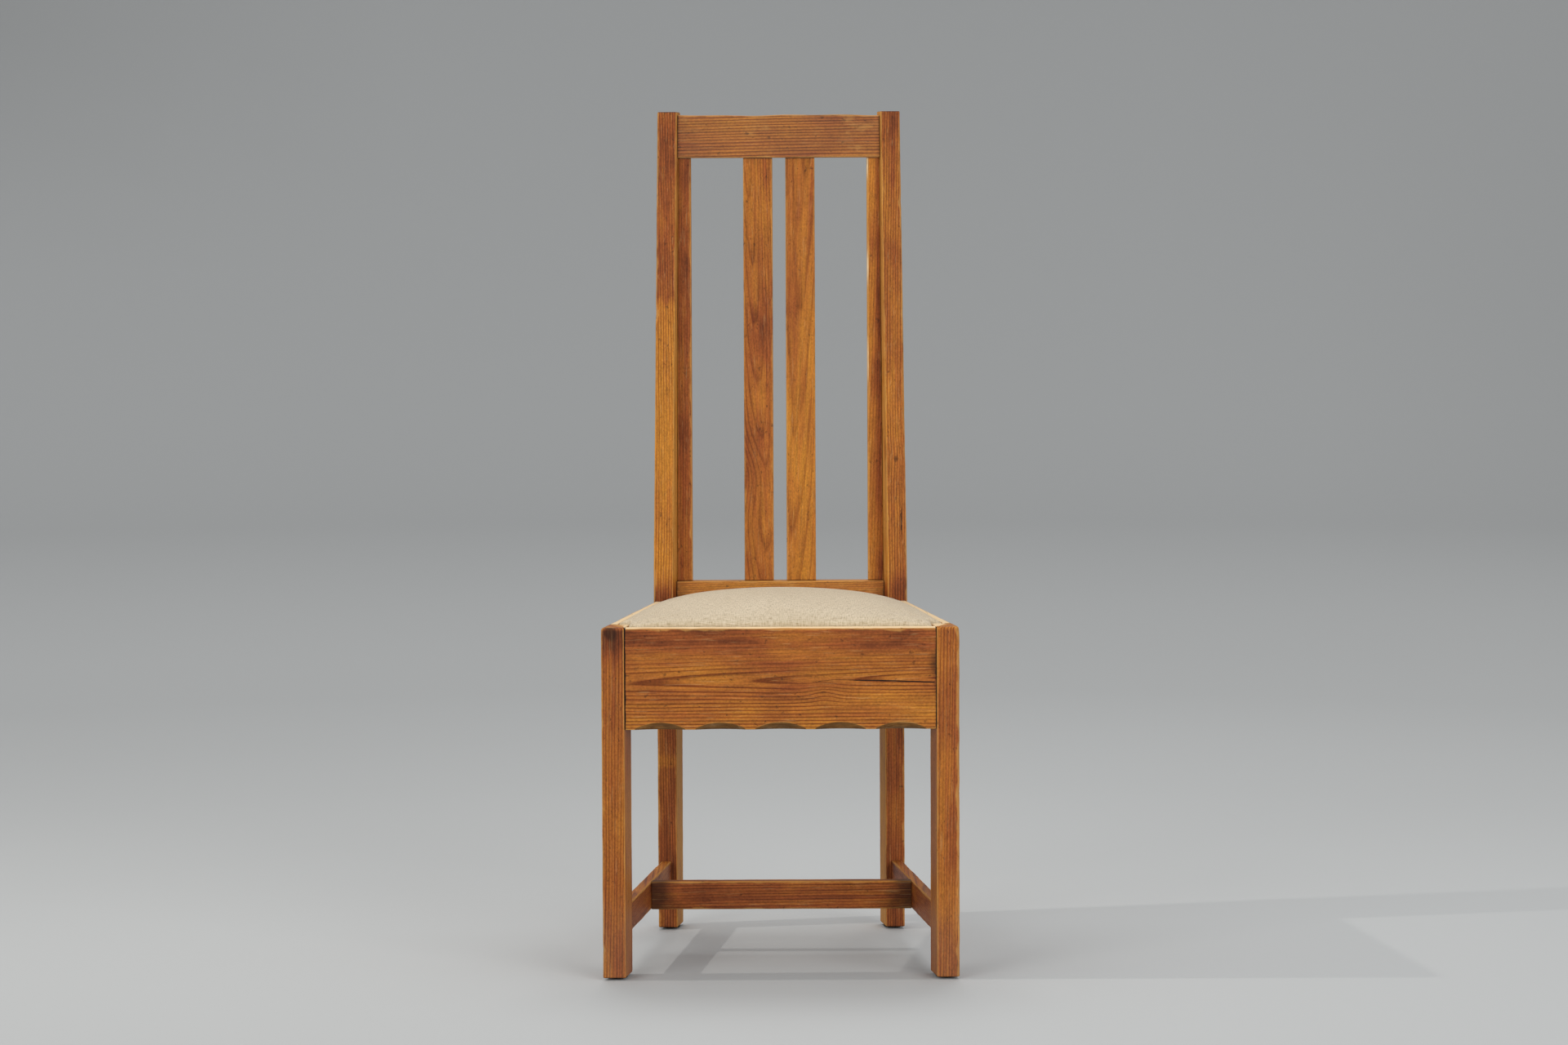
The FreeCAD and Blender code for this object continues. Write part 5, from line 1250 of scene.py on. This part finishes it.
def wadding():
    """Cotton wadding over horsehair: off-white, felted, with brown hairs."""
    material, tree = new_material("cotton_wadding")
    place = add(tree, "ShaderNodeTexCoord").outputs["Object"]
    felt = add(tree, "ShaderNodeTexNoise", {"Vector": place, "Scale": 180, "Detail": 6, "Roughness": 0.7})
    colour = add(tree, "ShaderNodeValToRGB", {0: felt}, stops=[
        (0.3, "#8F8168"), (0.5, "#CFC6B4"), (0.8, "#E4DDCF")])
    bump = add(tree, "ShaderNodeBump", {"Height": felt, "Strength": 0.7, "Distance": 0.0015})
    shader = add(tree, "ShaderNodeBsdfPrincipled", {"Base Color": colour, "Roughness": 0.95, "Normal": bump})
    add(tree, "ShaderNodeOutputMaterial", {"Surface": shader})
    return material


build = bmesh.new()
build.from_mesh(seat_skin)
build.normal_update()
for vertex in build.verts:
    vertex.co -= vertex.normal * PAD_INSET * MM
everything = build.verts[:] + build.edges[:] + build.faces[:]
cut_rim = bmesh.ops.bisect_plane(build, geom=everything, plane_co=(0, 0, (PAD_BOTTOM + 0.1) * MM),
                                 plane_no=(0, 0, 1), clear_inner=True)
rim_edges = [edge for edge in cut_rim["geom_cut"] if isinstance(edge, bmesh.types.BMEdge)]
bmesh.ops.holes_fill(build, edges=rim_edges, sides=0)
bmesh.ops.recalc_face_normals(build, faces=build.faces)
mesh = as_mesh(build, "seat_stuffing_wadded")
mesh.shade_smooth()
mesh.materials.append(wadding())
stuffing = placed("seat_stuffing_wadded", mesh, "seat_stuffing", "seat")


def linen():
    """Oatmeal linen furnishing cloth in plain weave. Its yarns are under a millimetre apart and are drawn 1.5
    mm apart so that they show, with thicker slubs, darker flecks, and a matt, slightly rough surface."""
    material, tree = new_material("oatmeal_linen")
    place = add(tree, "ShaderNodeAttribute", attribute_name="cloth").outputs["Vector"]
    parts = add(tree, "ShaderNodeSeparateXYZ", {0: place})
    waves = []
    for axis in (0, 1):
        turns = add(tree, "ShaderNodeMath", {0: parts.outputs[axis], 1: 2 * math.pi / (LINEN_YARN * MM)},
                    operation="MULTIPLY")
        waves.append(add(tree, "ShaderNodeMath", {0: turns}, operation="SINE"))
    weave = add(tree, "ShaderNodeMath", {0: waves[0], 1: waves[1]}, operation="MULTIPLY")
    slubs = []
    for stretch in ((800, 110, 1), (110, 800, 1)):
        spun = add(tree, "ShaderNodeVectorMath", {0: place, 1: stretch}, operation="MULTIPLY")
        slubs.append(add(tree, "ShaderNodeTexNoise", {"Vector": spun, "Scale": 1, "Detail": 2}))
    yarn = add(tree, "ShaderNodeMath", {0: slubs[0], 1: slubs[1]}, operation="ADD")
    fleck = add(tree, "ShaderNodeTexNoise", {"Vector": place, "Scale": 520, "Detail": 2})
    fade = add(tree, "ShaderNodeTexNoise", {"Vector": place, "Scale": 9, "Detail": 3})
    height = add(tree, "ShaderNodeMath", {0: weave, 1: yarn}, operation="ADD")
    tone = add(tree, "ShaderNodeMapRange", {"Value": yarn, "From Min": 0.72, "From Max": 1.3})
    colour = add(tree, "ShaderNodeValToRGB", {0: tone}, stops=[
        (0, "#A4906F"), (0.4, "#CDBB9C"), (1, "#E3D4BB")])
    dark = add(tree, "ShaderNodeMapRange", {
        "Value": fleck, "From Min": 0.6, "From Max": 0.72, "To Max": 0.28})
    colour = add(tree, "ShaderNodeMix", {0: dark, 6: colour, 7: "#8A7656"}, data_type="RGBA")
    aged = add(tree, "ShaderNodeMapRange", {"Value": fade, "From Min": 0.35, "From Max": 0.7, "To Max": 0.3})
    colour = add(tree, "ShaderNodeMix", {0: aged, 6: colour, 7: "#BCA682"}, data_type="RGBA")
    # Soiling and painted shade: darker low on the cover, near its edges, and more on the left
    darkening = add(tree, "ShaderNodeAttribute", attribute_name="darkening").outputs["Fac"]
    colour = add(tree, "ShaderNodeMix", {0: darkening, 6: colour, 7: "#8A7656"}, data_type="RGBA")
    bump = add(tree, "ShaderNodeBump", {"Height": height, "Strength": 0.55, "Distance": 0.0004})
    shader = add(tree, "ShaderNodeBsdfPrincipled", {"Base Color": colour, "Roughness": 0.88, "Normal": bump,
                                                    "Sheen Weight": 0.25, "Sheen Roughness": 0.6,
                                                    "Specular IOR Level": 0.2})
    add(tree, "ShaderNodeOutputMaterial", {"Surface": shader})
    return material


build = bmesh.new()
build.from_mesh(seat_skin)
build.normal_update()
everything = build.verts[:] + build.edges[:] + build.faces[:]
bmesh.ops.bisect_plane(build, geom=everything, plane_co=(0, 0, WALL_TOP * MM), plane_no=(0, 0, 1),
                       clear_inner=True)

# The cut's rim in order, and for each of its points the nearest foot on the seat's outline and the way in
# from there
edge = next(edge for edge in build.edges if edge.is_boundary)
rim = [edge.verts[0]]
while edge.other_vert(rim[-1]) is not rim[0]:
    rim.append(edge.other_vert(rim[-1]))
    edge = next(other for other in rim[-1].link_edges if other.is_boundary and other is not edge)
spots = np.array([vertex.co[:2] for vertex in rim]) / MM
outline = np.array(seat_plan(0))
inward = np.array(seat_plan(1)) - outline
least = np.full(len(rim), np.inf)
foot, inset_way = spots.copy(), spots.copy()
for corner in range(len(outline)):
    following = (corner + 1) % len(outline)
    run = outline[following] - outline[corner]
    share = np.clip((spots - outline[corner]) @ run / (run @ run), 0, 1)[:, None]
    gap = np.linalg.norm(spots - outline[corner] - share * run, axis=1)
    nearer = gap < least
    least[nearer] = gap[nearer]
    foot[nearer] = (outline[corner] + share * run)[nearer]
    inset_way[nearer] = (inward[corner] + share * (inward[following] - inward[corner]))[nearer]
for corner, way in zip(outline, inward):
    nearest = np.argmin(np.linalg.norm(foot - corner, axis=1))
    foot[nearest], inset_way[nearest] = corner, way

# Rows of faces down the walls and in under the frame, to an edge that was cut by hand
wobble = 0.6 * np.sin(foot[:, 0] / 9 + foot[:, 1] / 13) + 0.3 * np.sin(foot[:, 0] / 3.1 - foot[:, 1] / 4.3)
above = rim
for inset, height in TURNED:
    places = foot + inset_way * (inset + wobble * step_up(inset, 0.6 * TURN_UNDER, TURN_UNDER))[:, None]
    below = [build.verts.new((x * MM, y * MM, height * MM)) for x, y in places]
    for i in range(len(rim)):
        j = (i + 1) % len(rim)
        build.faces.new((above[i], above[j], below[j], below[i]))
    above = below
bmesh.ops.remove_doubles(build, verts=build.verts, dist=0.02 * MM)
bmesh.ops.recalc_face_normals(build, faces=build.faces)
mesh = as_mesh(build, "seat_cover_shell")
mesh.shade_smooth()
shell = linked("seat_cover_shell", mesh)
wall = shell.modifiers.new("cloth", "SOLIDIFY")
wall.thickness = LINEN_THICKNESS * MM
wall.offset = -1
mesh = plain_mesh(shell)
mesh.name = "seat_cover_linen"
bpy.data.objects.remove(shell)

# The weave runs on from the top over the walls, and the linen is darker low down near its edges and on the
# left, partly soiled and partly as painted shade
spots = np.array([vertex.co for vertex in mesh.vertices])
facing = np.array([vertex.normal for vertex in mesh.vertices])
drop = np.maximum(0, edge_height - spots[:, 2])[:, None]
laid_out = spots + np.sign(facing) * drop * (np.abs(facing) > 0.6)
put_attribute(mesh, "cloth", "FLOAT_VECTOR", laid_out * [1, 1, 0])
# Painted shade and soiling: darker below about 464 mm, and more on the left
by_edge = 1 - step_up(spots[:, 2] / MM, 464, 18)
put_attribute(mesh, "darkening", "FLOAT", (0.17 - 0.07 * step_up(spots[:, 0] / MM, 60, 200)) * by_edge)
mesh.materials.append(linen())
cover = placed("seat_cover_linen", mesh, "seat_cover", "seat")

# The tacks: blued cut tacks with small domed heads, driven through the turned-under linen into the seat
# frame. They are made by the same node tree as the screws, without the slot, and keep clear of the corner
# blocks.
TACK_HEAD = 7
TACK_HEAD_HEIGHT = 0.8
TACK_SHANK = 1.6
TACK_LENGTH = 9
TACK_MARGIN = 17.0
BLOCK_REACH = 48
TACK_CLEAR = 10

front_reach = leg_inner(APRON_BACK) - BLOCK_REACH - TACK_CLEAR
rear_reach = post_inner(REAR_RAIL_FRONT) - BLOCK_REACH - TACK_CLEAR
tack_places = []
tack_rows = ((front_reach, SEAT_FRONT + TACK_MARGIN, 6), (rear_reach, SEAT_REAR - TACK_MARGIN, 4))
for reach, depth, count in tack_rows:
    tack_places += [(x, depth - HALF_DEPTH, SEAT_FLOOR) for x in np.linspace(-reach, reach, count)]
for side in (-1, 1):
    for depth in np.linspace(LEG_DEPTH + BLOCK_REACH + TACK_CLEAR, SEAT_DEPTH - BLOCK_REACH - TACK_CLEAR, 4):
        tack_places.append((side * (outer(depth) - SEAT_SIDE - TACK_MARGIN), depth - HALF_DEPTH, SEAT_FLOOR))
tacks = grown("cover_tacks_blued", pointed("tack_points", tack_places, [(0, 0, -1)] * len(tack_places)),
              fastener_tree("cut_tacks", dulled_steel("blued_tack_steel", "#1D1E22", "#4C4E54"), False),
              {"Head": TACK_HEAD, "Height": TACK_HEAD_HEIGHT, "Shank": TACK_SHANK, "Length": TACK_LENGTH})
placed("cover_tacks_blued", tacks, "cover_tacks", "seat")

# The studio: a pale seamless paper floor that sweeps up into a grey wall all round, well outside the cameras.
# Lengths from here on are in metres.
FLOOR_RADIUS = 8.0
SWEEP_RADIUS = 4.0
PAPER_TURNS = 96
PAPER_RUN = 16
# Painted shade: the grey dips out to 3.2 m and rises up the wall, for the light's fall-off
PAPER_GREY_AND_SHADE = [(0, 0.5), (0.8, 0.47), (1.8, 0.435), (3.2, 0.405), (5, 0.43), (7.5, 0.46), (9.5, 0.48),
              (14, 0.48)]


def studio_paper():
    """Matt grey background paper. Its grey changes with the run from the middle, out over the floor and up
    the wall, which paints the light's fall-off, and it is scaled by painted light and shade from side to
    side."""
    material, tree = new_material("grey_studio_paper")
    far = add(tree, "ShaderNodeAttribute", attribute_name="run").outputs["Fac"]
    share = add(tree, "ShaderNodeMapRange", {"Value": far, "From Min": 0, "From Max": PAPER_RUN})
    colour = add(tree, "ShaderNodeValToRGB", {0: share}, stops=[
        (run / PAPER_RUN, [grey, grey * 1.025, grey * 1.035, 1]) for run, grey in PAPER_GREY_AND_SHADE])
    # Painted light and shade across the floor and wall
    painted_light = add(tree, "ShaderNodeAttribute", attribute_name="painted_light").outputs["Fac"]
    colour = add(tree, "ShaderNodeVectorMath", {0: colour, 1: painted_light}, operation="MULTIPLY")
    shader = add(tree, "ShaderNodeBsdfPrincipled", {
        "Base Color": colour, "Roughness": 0.9, "Specular IOR Level": 0.1})
    add(tree, "ShaderNodeOutputMaterial", {"Surface": shader})
    return material


profile = [(0.0, 0.0), (0.5, 0), (1.2, 0), (2.4, 0), (4, 0), (6, 0), (FLOOR_RADIUS, 0)]
profile += [(FLOOR_RADIUS + SWEEP_RADIUS * math.sin(a), SWEEP_RADIUS * (1 - math.cos(a)))
            for a in np.radians(np.arange(6, 91, 6))]
points, faces = [], []
for radius, height in profile[1:]:
    points += [(radius * math.cos(a), radius * math.sin(a), height)
               for a in np.linspace(0, 2 * math.pi, PAPER_TURNS, endpoint=False)]
points.append((0, 0, 0))
for s in range(PAPER_TURNS):
    n = (s + 1) % PAPER_TURNS
    faces.append((len(points) - 1, s, n))
    for row in range(len(profile) - 2):
        a, b = row * PAPER_TURNS, (row + 1) * PAPER_TURNS
        faces.append((a + s, b + s, b + n, a + n))
mesh = bpy.data.meshes.new("studio_floor")
mesh.from_pydata(points, [], faces)
mesh.shade_smooth()
lengths = np.concatenate([[0], np.cumsum(np.linalg.norm(np.diff(profile, axis=0), axis=1))])
put_attribute(mesh, "run", "FLOAT", np.concatenate([np.repeat(lengths[1:], PAPER_TURNS), [0]]))
# Painted light and shade: floor lighter right of the chair, darker left; back wall darker, most at top left
x, y, z = np.array(points).T
near = 1 - step_up(np.hypot(x, y), 2.6, 2.4)
behind = step_up(y, 5, 4)
painted_light = 1 + 0.07 * np.tanh(x / 0.9) * near - 0.1 * step_up(x, 2.4, 2) * behind * (1 - step_up(z, 1.2, 1.6))
painted_light -= behind * step_up(z, 1.2, 1.2) * (0.16 * step_up(-x, 2.4, 2.4) + 0.05 * step_up(x, 2.4, 2.4))
put_attribute(mesh, "painted_light", "FLOAT", painted_light)
mesh.materials.append(studio_paper())
linked("studio_floor", mesh)

# The light: an even white sky, two broad softboxes before the chair and one above and behind it, and a small
# lamp at the left that draws the faint crisp shadows on the floor.
world = bpy.data.worlds.new("studio_sky")
world.use_nodes = True
world.node_tree.nodes.clear()
sky = add(world.node_tree, "ShaderNodeBackground", {"Color": "#FFFFFF", "Strength": 0.6})
add(world.node_tree, "ShaderNodeOutputWorld", {"Surface": sky})
bpy.context.scene.world = world
bpy.context.scene.view_settings.view_transform = "Standard"


def area_light(name, place, target, breadth, power, colour):
    """A round light of some breadth and power, aimed at a target and not seen itself."""
    light = bpy.data.lights.new(name, "AREA")
    light.shape = "DISK"
    light.size = breadth
    light.energy = power
    light.color = linear(colour)[:3]
    lamp = linked(name, light)
    lamp.location = place
    lamp.rotation_mode = "QUATERNION"
    lamp.rotation_quaternion = (Vector(target) - Vector(place)).to_track_quat("-Z", "Y")
    lamp.visible_camera = False


area_light("left_softbox", (-3.4, -4.8, 1.9), (0, 0, 0.6), 3.0, 108, "#FFFEFC")
area_light("right_softbox", (3.2, -5.0, 1.9), (0, 0, 0.6), 4.0, 156, "#FFFEFC")
area_light("top_softbox", (0, 3.0, 7.0), (0, 0.4, 0.6), 4.0, 160, "#FFFEFC")
area_light("left_lamp", (-2.17, -0.23, 2.2), (0.3, 0.0, 0.3), 0.05, 18, "#FFFBF4")

# The camera: a long lens, almost six metres back and a little lower than the crest, tilted down slightly. Its
# place and lens were fitted to edges of the chair.
camera_data = bpy.data.cameras.new("camera")
camera_data.lens = 102.24
camera_data.sensor_width = 36
camera = linked("camera", camera_data)
camera.location = (0.0069, -5.8275, 0.9795)
camera.rotation_euler = (math.radians(90 - 4.053), math.radians(0.23), 0)
bpy.context.scene.camera = camera
